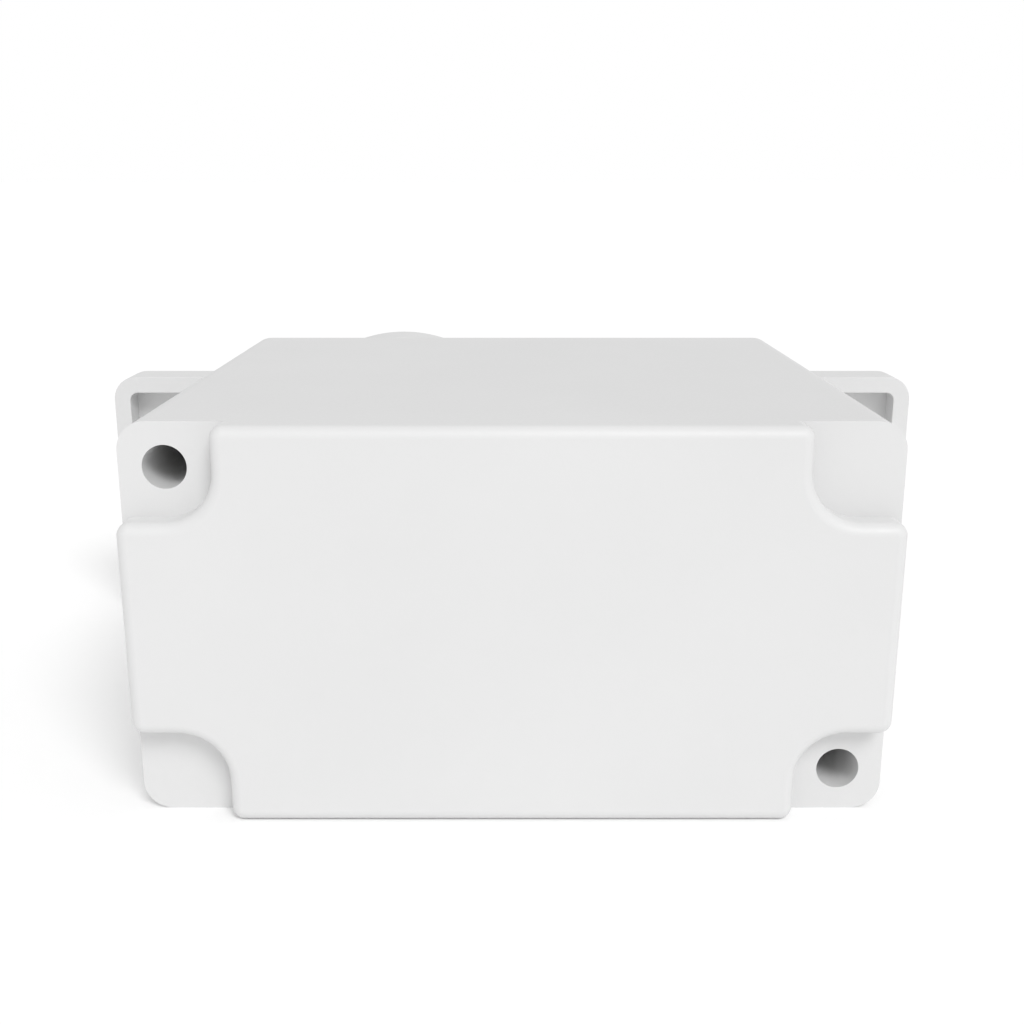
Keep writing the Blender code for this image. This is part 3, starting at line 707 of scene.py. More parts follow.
@dataclass(frozen=True)
class Laminate(Finish):
    """Glass epoxy board under solder mask: a green gloss with the cloth's weave just showing through."""

    roughness: float = 0.34
    shine_range: Point = (0.0, 0.12)
    band: Point = (0.0, 1.0)
    relief_mm: float = 0.01
    relief_strength: float = 0.15
    ior: float = 1.55
    # Glass cloth has about 2 threads a millimetre.
    thread_mm: float = 0.5

    def patterns(self, tree: bpy.types.NodeTree, place: Socket) -> tuple[Socket, Socket, Socket]:
        """Add the cloth's two sets of threads, which cross.

        Args:
            tree: The material's nodes.
            place: The piece's own coordinates.

        Returns:
            What the tone, the shine and the relief follow.
        """
        # A wave texture runs through a full turn every tau / 20 of its scaled coordinate.
        turns = math.tau / 20 * per_size(self.thread_mm)
        warp, weft = (
            add_node(
                tree,
                "ShaderNodeTexWave",
                {"bands_direction": way, "Scale": turns, "Distortion": 0.4, "Detail": 1.0},
                {"Vector": place},
            )
            for way in ("X", "Z")
        )
        weave = add_node(
            tree,
            "ShaderNodeMath",
            {"operation": "MULTIPLY"},
            {0: warp.outputs["Fac"], 1: weft.outputs["Fac"]},
        )
        return weave.outputs["Value"], weave.outputs["Value"], weave.outputs["Value"]


class Look(Enum):
    """Every finish of the part."""

    CASE = MouldedPlastic("moulded_abs_pale_grey", "d6d6d6", "dcdcdc")
    SEAL = Rubber("nitrile_rubber_black", "1b1b1d", "3a3b3d")
    ZINC = Metal("zinc_plated_steel", "c3c6cc", "b6bac1")
    TIN = Metal("tinned_copper_wire", "d2cfc9", "b9b5ad", roughness=0.25, fleck_mm=0.4)
    SOLDER = Metal("tin_solder", "c9c9c8", "aeb0b2", roughness=0.22, fleck_mm=0.6)
    BRASS = Metal("stamped_brass", "d3b26c", "bb9650")
    LAMINATE = Laminate("glass_epoxy_board_green", "1d5a37", "2b6e47")
    EPOXY = DippedCoat("dipped_epoxy_blue", "25569a", "1f4a88")
    CERAMIC = DippedCoat("glazed_alumina_white", "ebe8e0", "e0dcd2", peel_mm=2.0)
    FUSE_CASE = MouldedPlastic("moulded_phenolic_cream", "d2c7ab", "ddd3ba", roughness=0.42)
    FILM_CASE = MouldedPlastic("moulded_pbt_yellow", "cda632", "d9b23c", roughness=0.4)


@cache
def material_of(look: Look) -> bpy.types.Material:
    """The material of a finish, built the first time that a piece needs it."""
    return look.value.material()


def paint(item: Piece, look: Look) -> None:
    """Give a piece one finish.

    Args:
        item: The piece.
        look: Its finish.
    """
    item.data.materials.clear()
    item.data.materials.append(material_of(look))


def finished(item: Piece, look: Look, sharp: float = SHARP_DEGREES) -> Piece:
    """Smooth a shape, keep its flats flat to the eye and give it its finish.

    Args:
        item: The shape.
        look: Its finish.
        sharp: Angle in degrees past which an edge stays sharp.

    Returns:
        The same shape.
    """
    only(item)
    bpy.ops.object.shade_smooth_by_angle(angle=math.radians(sharp))
    flats = item.modifiers.new("flats", "WEIGHTED_NORMAL")
    flats.keep_sharp = True
    bpy.ops.object.modifier_apply(modifier=flats.name)
    paint(item, look)
    return item


@dataclass(frozen=True)
class Envelope:
    """Sizes and places that the housing, the base and the fasteners share."""

    front_y: float
    back_y: float
    width: float = 76.2 * MM
    height: float = 40.9 * MM
    edge_radius: float = 2.9 * MM
    panel_raise: float = 3.1 * MM
    bore_radius: float = 2.175 * MM
    bore_inset: float = 4.5 * MM
    post_wall: float = 2.0 * MM
    ear_height: float = 31.2 * MM
    ear_thickness: float = 6.1 * MM
    gasket_thickness: float = 1.4 * MM
    clearance: float = 0.3 * MM
    upper_screw: Point = (30.1 * MM, 32.9 * MM)
    lower_screw: Point = (8.5 * MM, 8.0 * MM)
    screw_hole_radius: float = 2.05 * MM
    nipple_x: float = -16.8 * MM
    nipple_radius: float = 13.335 * MM

    @property
    def half_width(self) -> float:
        """Half of the body's width."""
        return self.width / 2

    @property
    def mid_z(self) -> float:
        """Height of the body's middle."""
        return self.height / 2

    @property
    def middle(self) -> Point:
        """The body's middle, as (x, z)."""
        return (0.0, self.mid_z)

    @property
    def land_y(self) -> float:
        """Plane of the four corner lands."""
        return self.front_y + self.panel_raise

    @property
    def ear_front_y(self) -> float:
        """Plane of the ears' front faces."""
        return self.back_y - self.ear_thickness

    @property
    def ledge_y(self) -> float:
        """Plane that the gasket seats on."""
        return self.ear_front_y - self.gasket_thickness - 2 * self.clearance

    @property
    def post_radius(self) -> float:
        """Outer radius of the two bored posts."""
        return self.bore_radius + self.post_wall

    @property
    def post_offset(self) -> Point:
        """Place of the upper right corner's bore axis about the middle."""
        return (self.half_width - self.bore_inset, self.mid_z - self.bore_inset)

    @property
    def posts(self) -> tuple[Point, Point]:
        """The two bore axes: upper left and lower right."""
        x, rise = self.post_offset
        return (-x, self.mid_z + rise), (x, self.mid_z - rise)

    @property
    def screws(self) -> tuple[Point, Point]:
        """The two closing screws' axes: upper and lower."""
        return self.upper_screw, self.lower_screw

    @property
    def nipple(self) -> Point:
        """Axis of the nipple, as (x, z)."""
        return (self.nipple_x, self.mid_z)


@dataclass(frozen=True)
class Housing:
    """The deep front shell: raised panel, four lands, two bored posts and the closing bosses."""

    env: Envelope
    wall: float = 3.0 * MM
    rabbet_wall: float = 1.6 * MM
    front_wall: float = 2.5 * MM
    panel_fillet: float = 1.2 * MM
    fillet_segments: int = 6
    tip_radius: float = 1.3 * MM
    land_arc: float = 5.0 * MM
    boss_radius: float = 3.85 * MM
    rib: float = 2.0 * MM
    pilot_depth: float = 19.8 * MM
    broken_edge: float = 0.15 * MM

    def land_tool(self, across: int, up: int) -> Piece:
        """The shape that is cut from one corner of the raised panel.

        Args:
            across: -1 for the left side, 1 for the right.
            up: -1 for the lower side, 1 for the upper.

        Returns:
            The tool shape.
        """
        env = self.env
        size = env.bore_inset + self.land_arc
        tip = self.tip_radius
        side_tip = (env.half_width - tip, env.mid_z - size - tip)
        top_tip = (env.half_width - size - tip, env.mid_z - tip)
        past = (env.half_width + OVERRUN, env.mid_z + OVERRUN)
        outline = [(past[0], side_tip[1])]
        outline += arc(side_tip, tip, 0, 90)
        outline += arc(env.post_offset, self.land_arc, -90, -180)
        outline += arc(top_tip, tip, 0, 90)
        outline += [(top_tip[0], past[1]), past]
        turned = [(across * x, up * z) for x, z in outline]
        return slab(turned, env.middle, env.front_y - OVERRUN, env.land_y)

    def hollows(self) -> list[Piece]:
        """The shapes that open the shell from behind.

        Returns:
            The cavity, the gasket's rabbet, the two pockets of the raised panel and the ears' notch.
        """
        env = self.env
        half_cavity = env.half_width - self.wall
        top = env.height - self.wall
        rear = env.back_y + OVERRUN
        inner = env.land_y + self.front_wall
        pocket = env.front_y + self.front_wall
        narrow = env.bore_inset + self.land_arc + self.wall
        half_tall = env.half_width - narrow
        half_rabbet = env.half_width - self.rabbet_wall
        half_notch = env.ear_height / 2 + env.clearance
        past = env.half_width + OVERRUN
        notch_y = env.ear_front_y - env.clearance
        return [
            block((-half_cavity, inner, self.wall), (half_cavity, rear, top)),
            block(
                (-half_rabbet, env.ledge_y, self.rabbet_wall),
                (half_rabbet, rear, env.height - self.rabbet_wall),
            ),
            block((-half_tall, pocket, self.wall), (half_tall, inner + OVERRUN, top)),
            block((-half_cavity, pocket, narrow), (half_cavity, inner + OVERRUN, env.height - narrow)),
            block((-past, notch_y, env.mid_z - half_notch), (past, rear, env.mid_z + half_notch)),
        ]

    def supports(self) -> list[Piece]:
        """The shapes that stand inside the shell.

        Returns:
            The bored posts, and each screw boss with the rib that ties it to the nearest wall.
        """
        env = self.env
        land_root = env.land_y + self.front_wall / 2
        panel_root = env.front_y + self.front_wall / 2
        boss_end = env.ear_front_y - env.clearance
        made = [rod(env.post_radius, place, land_root, env.back_y) for place in env.posts]
        for (x, z), root in zip(env.screws, (land_root, panel_root)):
            made.append(rod(self.boss_radius, (x, z), root, boss_end))
            wall = env.height - self.wall + OVERRUN if z > env.mid_z else self.wall - OVERRUN
            low = (x - self.rib / 2, root, min(z, wall))
            high = (x + self.rib / 2, env.ledge_y - env.clearance, max(z, wall))
            made.append(block(low, high))
        return made

    def holes(self) -> list[Piece]:
        """The shapes that go through the posts and into the bosses.

        Returns:
            The two through bores and the two screw pilots.
        """
        env = self.env
        rear = env.back_y + OVERRUN
        start = env.back_y - self.pilot_depth
        made = [rod(env.bore_radius, place, env.front_y, rear, MID_SIDES) for place in env.posts]
        made += [rod(env.screw_hole_radius, place, start, rear) for place in env.screws]
        return made

    def build(self) -> None:
        """Model the shell and put it in place."""
        env = self.env
        shell = slab(rounded(env.half_width, env.mid_z, env.edge_radius), env.middle, env.front_y, env.back_y)
        combine(shell, Cut.TAKE, [self.land_tool(across, up) for across in SIDES for up in SIDES])
        round_edges(
            shell,
            lambda a, b: lies_at(env.front_y, a, b),
            self.panel_fillet,
            self.fillet_segments,
        )
        combine(shell, Cut.TAKE, self.hollows())
        combine(shell, Cut.ADD, self.supports())
        combine(shell, Cut.TAKE, self.holes())
        break_edges(shell, self.broken_edge)
        install(finished(shell, Look.CASE), "housing_shell", "housing", ["housing"])


@dataclass(frozen=True)
class EaredBase:
    """The rear tray with its two pocketed ears, the nipple's collar and the board's standoffs."""

    env: Envelope
    inset: float = 1.9 * MM
    floor: float = 3.1 * MM
    upstand: float = 2.2 * MM
    ear_span: float = 114.0 * MM
    ear_corner: float = 3.3 * MM
    ear_rim: float = 2.3 * MM
    pocket_depth: float = 3.5 * MM
    pocket_corner: float = 1.1 * MM
    slot_width: float = 5.2 * MM
    slot_length: float = 8.0 * MM
    collar_radius: float = 16.835 * MM
    screw_boss_radius: float = 5.1 * MM
    counterbore_radius: float = 3.9 * MM
    counterbore_depth: float = 4.2 * MM
    standoff_height: float = 15.1 * MM
    standoff_radius: float = 2.4 * MM
    standoff_hole_radius: float = 1.4 * MM
    standoff_hole_depth: float = 6.1 * MM
    broken_edge: float = 0.15 * MM
    standoffs: tuple[Point, ...] = (
        (-29.3 * MM, 7.2 * MM),
        (22.65 * MM, 7.2 * MM),
        (-3.325 * MM, 33.7 * MM),
        (22.65 * MM, 33.7 * MM),
    )

    @property
    def half_width(self) -> float:
        """Half of the tray's width, without the ears."""
        return self.env.half_width - self.inset

    @property
    def floor_y(self) -> float:
        """Plane of the tray's floor."""
        return self.env.back_y - self.floor

    @property
    def standoff_y(self) -> float:
        """Plane that the circuit board sits on."""
        return self.floor_y - self.standoff_height

    def hollow(self) -> list[Point]:
        """The inside of the tray, stepping round the two bored posts.

        Returns:
            The outline, about the body's middle.
        """
        env = self.env
        inset = self.inset + self.upstand
        half_width = env.half_width - inset
        half_height = env.mid_z - inset
        radius = env.clearance
        plain = arc((half_width - radius, half_height - radius), radius, 0, 90)
        around = env.post_radius + env.clearance + self.upstand
        reach = math.degrees(math.acos((env.bore_inset - inset) / around))
        bored = arc(env.post_offset, around, -reach, reach - 270, 2 * ARC_STEPS)
        return four_corners(plain, bored)

    def ear(self, side: int) -> list[Point]:
        """One ear, from inside the body out to its rounded end.

        Args:
            side: -1 for the left ear, 1 for the right.

        Returns:
            The outline, about the body's middle.
        """
        half = self.env.ear_height / 2
        tip = self.ear_span / 2 - self.ear_corner
        inner = self.env.half_width - self.inset - self.upstand / 2
        rise = half - self.ear_corner
        outline = [(inner, -half)]
        outline += arc((tip, -rise), self.ear_corner, -90, 0)
        outline += arc((tip, rise), self.ear_corner, 0, 90)
        outline += [(inner, half)]
        return [(side * x, z) for x, z in outline]

    def screw_slot(self) -> list[Point]:
        """The slot in an ear's pocket.

        Returns:
            The outline, about its own middle.
        """
        radius = self.slot_width / 2
        run = self.slot_length / 2 - radius
        return arc((run, 0), radius, -90, 90) + arc((-run, 0), radius, 90, 270)

    def additions(self) -> list[Piece]:
        """The shapes that stand on the tray or out from it.

        Returns:
            The ears, the nipple's collar, the screw bosses and the board's standoffs.
        """
        env = self.env
        front = env.ear_front_y
        buried = env.back_y - self.floor / 2
        made = [slab(self.ear(side), env.middle, front, env.back_y) for side in SIDES]
        made.append(rod(self.collar_radius, env.nipple, front, buried, BIG_SIDES))
        made += [rod(self.screw_boss_radius, place, front, buried) for place in env.screws]
        made += [rod(self.standoff_radius, place, self.standoff_y, buried) for place in self.standoffs]
        return made

    def cuts(self) -> list[Piece]:
        """The shapes that are cut from the base.

        Returns:
            The ears' pockets and slots, the nipple's hole, the posts' holes, the screws' and the standoffs'.
        """
        env = self.env
        ahead = env.ear_front_y - OVERRUN
        rear = env.back_y + OVERRUN
        inner = env.half_width + self.ear_rim
        outer = self.ear_span / 2 - self.ear_rim
        pocket = rounded((outer - inner) / 2, env.ear_height / 2 - self.ear_rim, self.pocket_corner)
        made = []
        for side in SIDES:
            place = (side * (outer + inner) / 2, env.mid_z)
            made.append(slab(pocket, place, ahead, env.ear_front_y + self.pocket_depth))
            made.append(slab(self.screw_slot(), place, env.ear_front_y, rear))
        made.append(rod(env.nipple_radius + env.clearance, env.nipple, ahead, rear, BIG_SIDES))
        around = env.post_radius + env.clearance
        made += [rod(around, place, self.standoff_y, rear, MID_SIDES) for place in env.posts]
        for place in env.screws:
            made.append(rod(self.counterbore_radius, place, env.back_y - self.counterbore_depth, rear))
            made.append(rod(env.screw_hole_radius, place, ahead, rear))
        top = self.standoff_y - OVERRUN
        end = self.standoff_y + self.standoff_hole_depth
        made += [rod(self.standoff_hole_radius, place, top, end) for place in self.standoffs]
        return made

    def outer_edge(self, a: Vector, b: Vector) -> bool:
        """Whether an edge lies in the mounting plane, or in an ear's front outside the body.

        Args:
            a: One end of the edge.
            b: Its other end.

        Returns:
            True where it does.
        """
        outside = min(abs(a.x), abs(b.x)) > self.half_width - ON_FACE
        return lies_at(self.env.back_y, a, b) or (outside and lies_at(self.env.ear_front_y, a, b))

    def build(self) -> None:
        """Model the base and put it in place."""
        env = self.env
        front = env.ear_front_y
        outline = rounded(self.half_width, env.mid_z - self.inset, env.edge_radius - self.inset)
        tray = slab(outline, env.middle, front, env.back_y)
        combine(tray, Cut.TAKE, [slab(self.hollow(), env.middle, front - OVERRUN, self.floor_y)])
        combine(tray, Cut.ADD, self.additions())
        combine(tray, Cut.TAKE, self.cuts())
        round_edges(tray, self.outer_edge, self.broken_edge, BROKEN_SEGMENTS)
        install(finished(tray, Look.CASE), "base_tray", "base", ["base"])


@dataclass(frozen=True)
class Thread:
    """A right-hand thread round a Y axis, as a groove that winds along a round wall."""

    wall: float
    pitch: float
    depth: float
    start: float
    end: float
    rings_a_turn: int = 8
    # Flanks steeper than a plain zigzag's, which leaves a flat at the crest and at the root.
    steepness: float = 1.3
    crest: float = 0.15

    def ladder(self) -> list[Point]:
        """Points up the wall, close enough together to carry the groove.

        Returns:
            The points, as (radius, distance along the axis).
        """
        rings = math.ceil((self.end - self.start) / self.pitch * self.rings_a_turn)
        step = (self.end - self.start) / rings
        return [(self.wall, self.start + step * i) for i in range(rings + 1)]

    def wind(self, item: Piece, axis: Point, origin_y: float) -> None:
        """Sink the groove into the wall of a spun piece. A negative depth winds it outwards.

        Args:
            item: The piece, whose wall came from ladder().
            axis: The thread's axis, as (x, z).
            origin_y: Y that start and end count from.
        """
        for vert in item.data.vertices:
            across = Vector((vert.co.x - axis[0], 0, vert.co.z - axis[1]))
            along = vert.co.y - origin_y
            if abs(across.length - self.wall) > ON_FACE or not self.start <= along <= self.end:
                continue
            turn = math.atan2(across.x, across.z) / math.tau
            phase = (along / self.pitch - turn) % 1
            groove = min(1.0, max(0.0, self.steepness * (1 - abs(2 * phase - 1)) - self.crest))
            fade = min(1.0, (along - self.start) / self.pitch, (self.end - along) / self.pitch)
            across *= 1 - self.depth * groove * max(0.0, fade) / across.length
            vert.co.x = axis[0] + across.x
            vert.co.z = axis[1] + across.z


@dataclass(frozen=True)
class NippleFitting:
    """The conduit nipple with its sealing ring and its locknut."""

    env: Envelope
    # 14 turns an inch, as on a trade size 3/4 nipple.
    pitch: float = 25.4 / 14 * MM
    thread_depth: float = 1.0 * MM
    wall: float = 2.87 * MM
    reach: float = 23.5 * MM
    flange_radius: float = 15.035 * MM
    flange_thickness: float = 3.0 * MM
    chamfer: float = 1.0 * MM
    broken_edge: float = 0.25 * MM
    ring_radius: float = 19.5 * MM
    ring_thickness: float = 3.5 * MM
    ring_edge: float = 0.7 * MM
    ring_edge_steps: int = 5
    nut_radius: float = 20.0 * MM
    nut_thickness: float = 7.9 * MM
    nut_lugs: int = 6
    first_lug_degrees: float = 90.0
    lug_degrees: float = 46.0
    flank_degrees: float = 3.5
    notch_depth: float = 2.4 * MM
    notch_steps: int = 3
    nut_edge: float = 0.5 * MM
    nut_edge_segments: int = 3
    bore_chamfer: float = 0.8 * MM

    def origin(self, rise: float) -> Vector:
        """A point on the axis, this far behind the mounting plane."""
        return Vector((self.env.nipple_x, self.env.back_y + rise, self.env.mid_z))

    def build_nipple(self) -> None:
        """Model the threaded tube with its flange."""
        env = self.env
        outer = env.nipple_radius
        inner = outer - self.wall
        seat = -env.ear_thickness - env.clearance
        foot = seat - self.flange_thickness
        soft = self.broken_edge
        thread = Thread(outer, self.pitch, self.thread_depth, env.clearance, self.reach - self.chamfer)
        profile = [(inner, foot + soft), (inner + soft, foot)]
        profile += [(self.flange_radius - soft, foot), (self.flange_radius, foot + soft)]
        profile += [(self.flange_radius, seat), (outer, seat)]
        profile += thread.ladder()
        profile += [(outer - self.chamfer, self.reach)]
        profile += [(inner + soft, self.reach), (inner, self.reach - soft)]
        tube = spun(profile, self.origin(0), Axis.Y, BIG_SIDES)
        thread.wind(tube, env.nipple, env.back_y)
        install(finished(tube, Look.CASE), "nipple_tube", "base", ["nipple"])

    def build_ring(self) -> None:
        """Model the soft ring, with its moulded round edges."""
        inner = self.env.nipple_radius + self.env.clearance
        edge = self.ring_edge
        middle = self.ring_radius - edge
        profile = [(inner, 0.0)]
        profile += arc((middle, edge), edge, -90, 0, self.ring_edge_steps)
        profile += arc((middle, self.ring_thickness - edge), edge, 0, 90, self.ring_edge_steps)
        profile += [(inner, self.ring_thickness)]
        ring = spun(profile, self.origin(self.env.clearance), Axis.Y, BIG_SIDES)
        finished(ring, Look.SEAL)
        install(ring, "sealing_ring_soft", "sealing_ring", ["sealing_ring"])

    def lug_outline(self) -> list[Point]:
        """The locknut's outer form, with notches between its lugs.

        Returns:
            The outline, about the nut's axis.
        """
        step = 360 / self.nut_lugs
        half_lug = self.lug_degrees / 2
        half_root = half_lug + self.flank_degrees
        root = self.nut_radius - self.notch_depth
        outline: list[Point] = []
        for i in range(self.nut_lugs):
            middle = self.first_lug_degrees + i * step
            outline += arc((0, 0), self.nut_radius, middle - half_lug, middle + half_lug, 2 * ARC_STEPS)
            outline += arc((0, 0), root, middle + half_root, middle + step - half_root, self.notch_steps)
        return outline

    def build_nut(self) -> None:
        """Model the locknut, with its lugs and its threaded bore."""
        env = self.env
        rise = self.ring_thickness + 2 * env.clearance
        front = env.back_y + rise
        end = self.nut_thickness
        nut = slab(self.lug_outline(), env.nipple, front, front + end)
        round_edges(nut, lambda a, b: lies_at(a.y, b), self.nut_edge, self.nut_edge_segments)

        wide = env.nipple_radius + env.clearance
        mouth = wide + self.bore_chamfer
        thread = Thread(wide, self.pitch, -self.thread_depth, self.bore_chamfer, end - self.bore_chamfer)
        profile = [(0.0, -OVERRUN), (mouth, -OVERRUN), (mouth, 0.0)]
        profile += thread.ladder()
        profile += [(mouth, end), (mouth, end + OVERRUN), (0.0, end + OVERRUN)]
        tap = spun(profile, self.origin(rise), Axis.Y, BIG_SIDES)
        thread.wind(tap, env.nipple, front)
        combine(nut, Cut.TAKE, [tap])
        install(finished(nut, Look.CASE), "locknut_lugged", "locknut", ["locknut"])

    def build(self) -> None:
        """Model all three pieces."""
        self.build_nipple()
        self.build_ring()
        self.build_nut()


@dataclass(frozen=True)
class PanScrew:
    """A thread-forming pan head screw with a cross recess."""

    radius: float
    length: float
    head_radius: float
    head_height: float
    pitch: float
    thread_depth: float
    recess_length: float
    recess_width: float
    recess_depth: float
    dome_steps: int = 8
    sharp: float = 50.0

    def model(self, place: Point, seat_y: float, facing: Facing) -> Piece:
        """Model one screw.

        Args:
            place: Its axis, as (x, z).
            seat_y: Y of the underside of its head.
            facing: Which way its head looks.

        Returns:
            The screw.
        """
        side = self.head_height / 2
        # The blunt point is as long as the shank's radius.
        point = self.radius
        thread = Thread(self.radius, self.pitch, self.thread_depth, point - self.length, -self.pitch / 2)
        profile = [(0.0, -self.length), (self.radius / 2, -self.length + point / 4)]
        profile += thread.ladder()
        profile += [(self.radius, 0.0), (self.head_radius, 0.0)]
        dome = arc((0, 0), 1, 0, 90, self.dome_steps)
        profile += [(self.head_radius * across, side + side * up) for across, up in dome[:-1]]
        profile += [(0.0, self.head_height)]
        screw = spun(profile, Vector((place[0], 0, place[1])), Axis.Y, SMALL_SIDES)
        thread.wind(screw, place, 0)
        floor = self.head_height - self.recess_depth
        long, thin = self.recess_length / 2, self.recess_width / 2
        cross = four_corners([(long, thin), (thin, thin), (thin, long)])
        combine(screw, Cut.TAKE, [slab(cross, place, floor, self.head_height + OVERRUN)])
        only(screw)
        screw.location.y = seat_y
        if facing is Facing.FRONT:
            # Half a turn about Z keeps the thread right-handed.
            screw.rotation_euler.z = math.pi
            screw.location.x = 2 * place[0]
        bpy.ops.object.transform_apply(location=True, rotation=True, scale=True)
        return finished(screw, Look.ZINC, self.sharp)


@dataclass(frozen=True)
class Fasteners:
    """The two closing screws and the four board screws."""

    env: Envelope
    base: EaredBase
    closing: PanScrew = PanScrew(
        radius=1.75 * MM,
        length=16.0 * MM,
        head_radius=3.3 * MM,
        head_height=2.4 * MM,
        pitch=1.27 * MM,
        thread_depth=0.45 * MM,
        recess_length=3.6 * MM,
        recess_width=0.8 * MM,
        recess_depth=1.2 * MM,
    )
    board: PanScrew = PanScrew(
        radius=1.1 * MM,
        length=8.0 * MM,
        head_radius=2.1 * MM,
        head_height=1.6 * MM,
        pitch=0.8 * MM,
        thread_depth=0.28 * MM,
        recess_length=2.4 * MM,
        recess_width=0.5 * MM,
        recess_depth=0.8 * MM,
    )

    def build(self) -> None:
        """Model the screws, each kind once, and copy them to their places."""
        env = self.env
        head_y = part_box("closing_washer_upper")[1].y + env.clearance
        first = self.closing.model(env.upper_screw, head_y, Facing.REAR)
        for name, item in zip(("upper", "lower"), spread(first, env.screws)):
            node = f"closing_screw_{name}"
            install(item, f"{node}_threaded", f"screw_{name}", [node])

        places = self.base.standoffs
        head_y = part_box("circuit_board")[0].y - env.clearance
        first = self.board.model(places[0], head_y, Facing.FRONT)
        for i, item in enumerate(spread(first, places), start=1):
            node = f"board_screw_{i}"
            install(item, f"{node}_threaded", "base", [node])


@dataclass(frozen=True)
class Lead:
    """Round tinned wire that runs from a part down to the circuit board's front."""

    board_y: float
    radius: float = 0.5 * MM
    sides: int = 16
    bevel_resolution: int = 3

    def straight(self, place: Point, start_y: float) -> Piece:
        """Model a straight lead.

        Args:
            place: Its axis, as (x, z).
            start_y: Y where it starts, inside its part.

        Returns:
            The lead.
        """
        return finished(rod(self.radius, place, start_y, self.board_y, self.sides), Look.TIN)

    def bent(self, route: Sequence[Vector]) -> Piece:
        """Model a lead that goes through a few points.

        Args:
            route: The points in order.

        Returns:
            The lead.
        """
        curve = bpy.data.curves.new("lead", "CURVE")
        curve.dimensions = "3D"
        curve.bevel_depth = self.radius
        curve.bevel_resolution = self.bevel_resolution
        curve.use_fill_caps = True
        spline = curve.splines.new("POLY")
        spline.points.add(len(route) - 1)
        for point, place in zip(spline.points, route):
            point.co = (*place, 1)
        wire = bpy.data.objects.new("lead", curve)
        bpy.context.scene.collection.objects.link(wire)
        only(wire)
        bpy.ops.object.convert(target="MESH")
        return finished(bpy.context.object, Look.TIN)


@dataclass(frozen=True)
class BoardPart:
    """A part that stands on the circuit board by its leads, with one or more alike."""

    nodes: tuple[str, ...]
    lead: Lead
    ending: str = ""
    slot: str = ""

    def model(self) -> tuple[Piece, list[Point]]:
        """Model the part for its first CAD node.

        Returns:
            The part, and where its leads meet the board.
        """
        raise NotImplementedError

    def build(self) -> list[Point]:
        """Model the part once and copy it to the place of each of its nodes.

        Returns:
            Where all the leads meet the board.
        """
        first, feet = self.model()
        places = [middle_of(node) for node in self.nodes]
        for node, item in zip(self.nodes, spread(first, places)):
            install(item, f"{node}_{self.ending}", "base", [node])
        shifts = [(x - places[0][0], z - places[0][1]) for x, z in places]
        return [(x + across, z + up) for across, up in shifts for x, z in feet]


@dataclass(frozen=True)
class Varistor(BoardPart):
    """A disc under a dipped coat. The coat runs a short way down each lead and thins out."""

    ending: str = "coated"
    slot: str = "varistor_epoxy"
    radius: float = 11.5 * MM
    thickness: float = 5.6 * MM
    rim_steps: int = 12
    # The coat is a little thinner over the disc's flat faces than round its rim.
    face_sink: float = 0.25 * MM
    face_share: float = 0.75
    lead_pitch: float = 10.0 * MM
    run_length: float = 2.2 * MM
    run_mouth: float = 1.6 * MM
    run_neck: float = 0.9 * MM
    run_skin: float = 0.1 * MM
    run_sharp: float = 60.0

    def model(self) -> tuple[Piece, list[Point]]:
        """Model the coated disc on its two leads.

        Returns:
            The varistor, and where its leads meet the board.
        """
        x, z = middle_of(self.nodes[0])
        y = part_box(self.nodes[0])[0].y + self.radius
        half = self.thickness / 2
        rim = self.radius - half
        face = half - self.face_sink
        flat = self.face_share * rim
        profile = [(0.0, -face), (flat, -face)]
        profile += arc((rim, 0), half, -90, 90, self.rim_steps)
        profile += [(flat, face), (0.0, face)]
        pieces = [finished(spun(profile, Vector((x, y, z)), Axis.Z, BIG_SIDES), Look.EPOXY)]
        feet = [(x + side * self.lead_pitch / 2, z) for side in SIDES]
        reach = math.sqrt(rim**2 - (self.lead_pitch / 2) ** 2) + half
        run = [(0.0, -half), (self.run_mouth, -half), (self.run_neck, self.run_length / 3)]
        run += [(self.lead.radius + self.run_skin, self.run_length), (0.0, self.run_length)]
        for foot in feet:
            collar = spun(run, Vector((foot[0], y + reach, z)), Axis.Y, self.lead.sides)
            pieces.append(finished(collar, Look.EPOXY, self.run_sharp))
            pieces.append(self.lead.straight(foot, y))
        return joined(pieces), feet


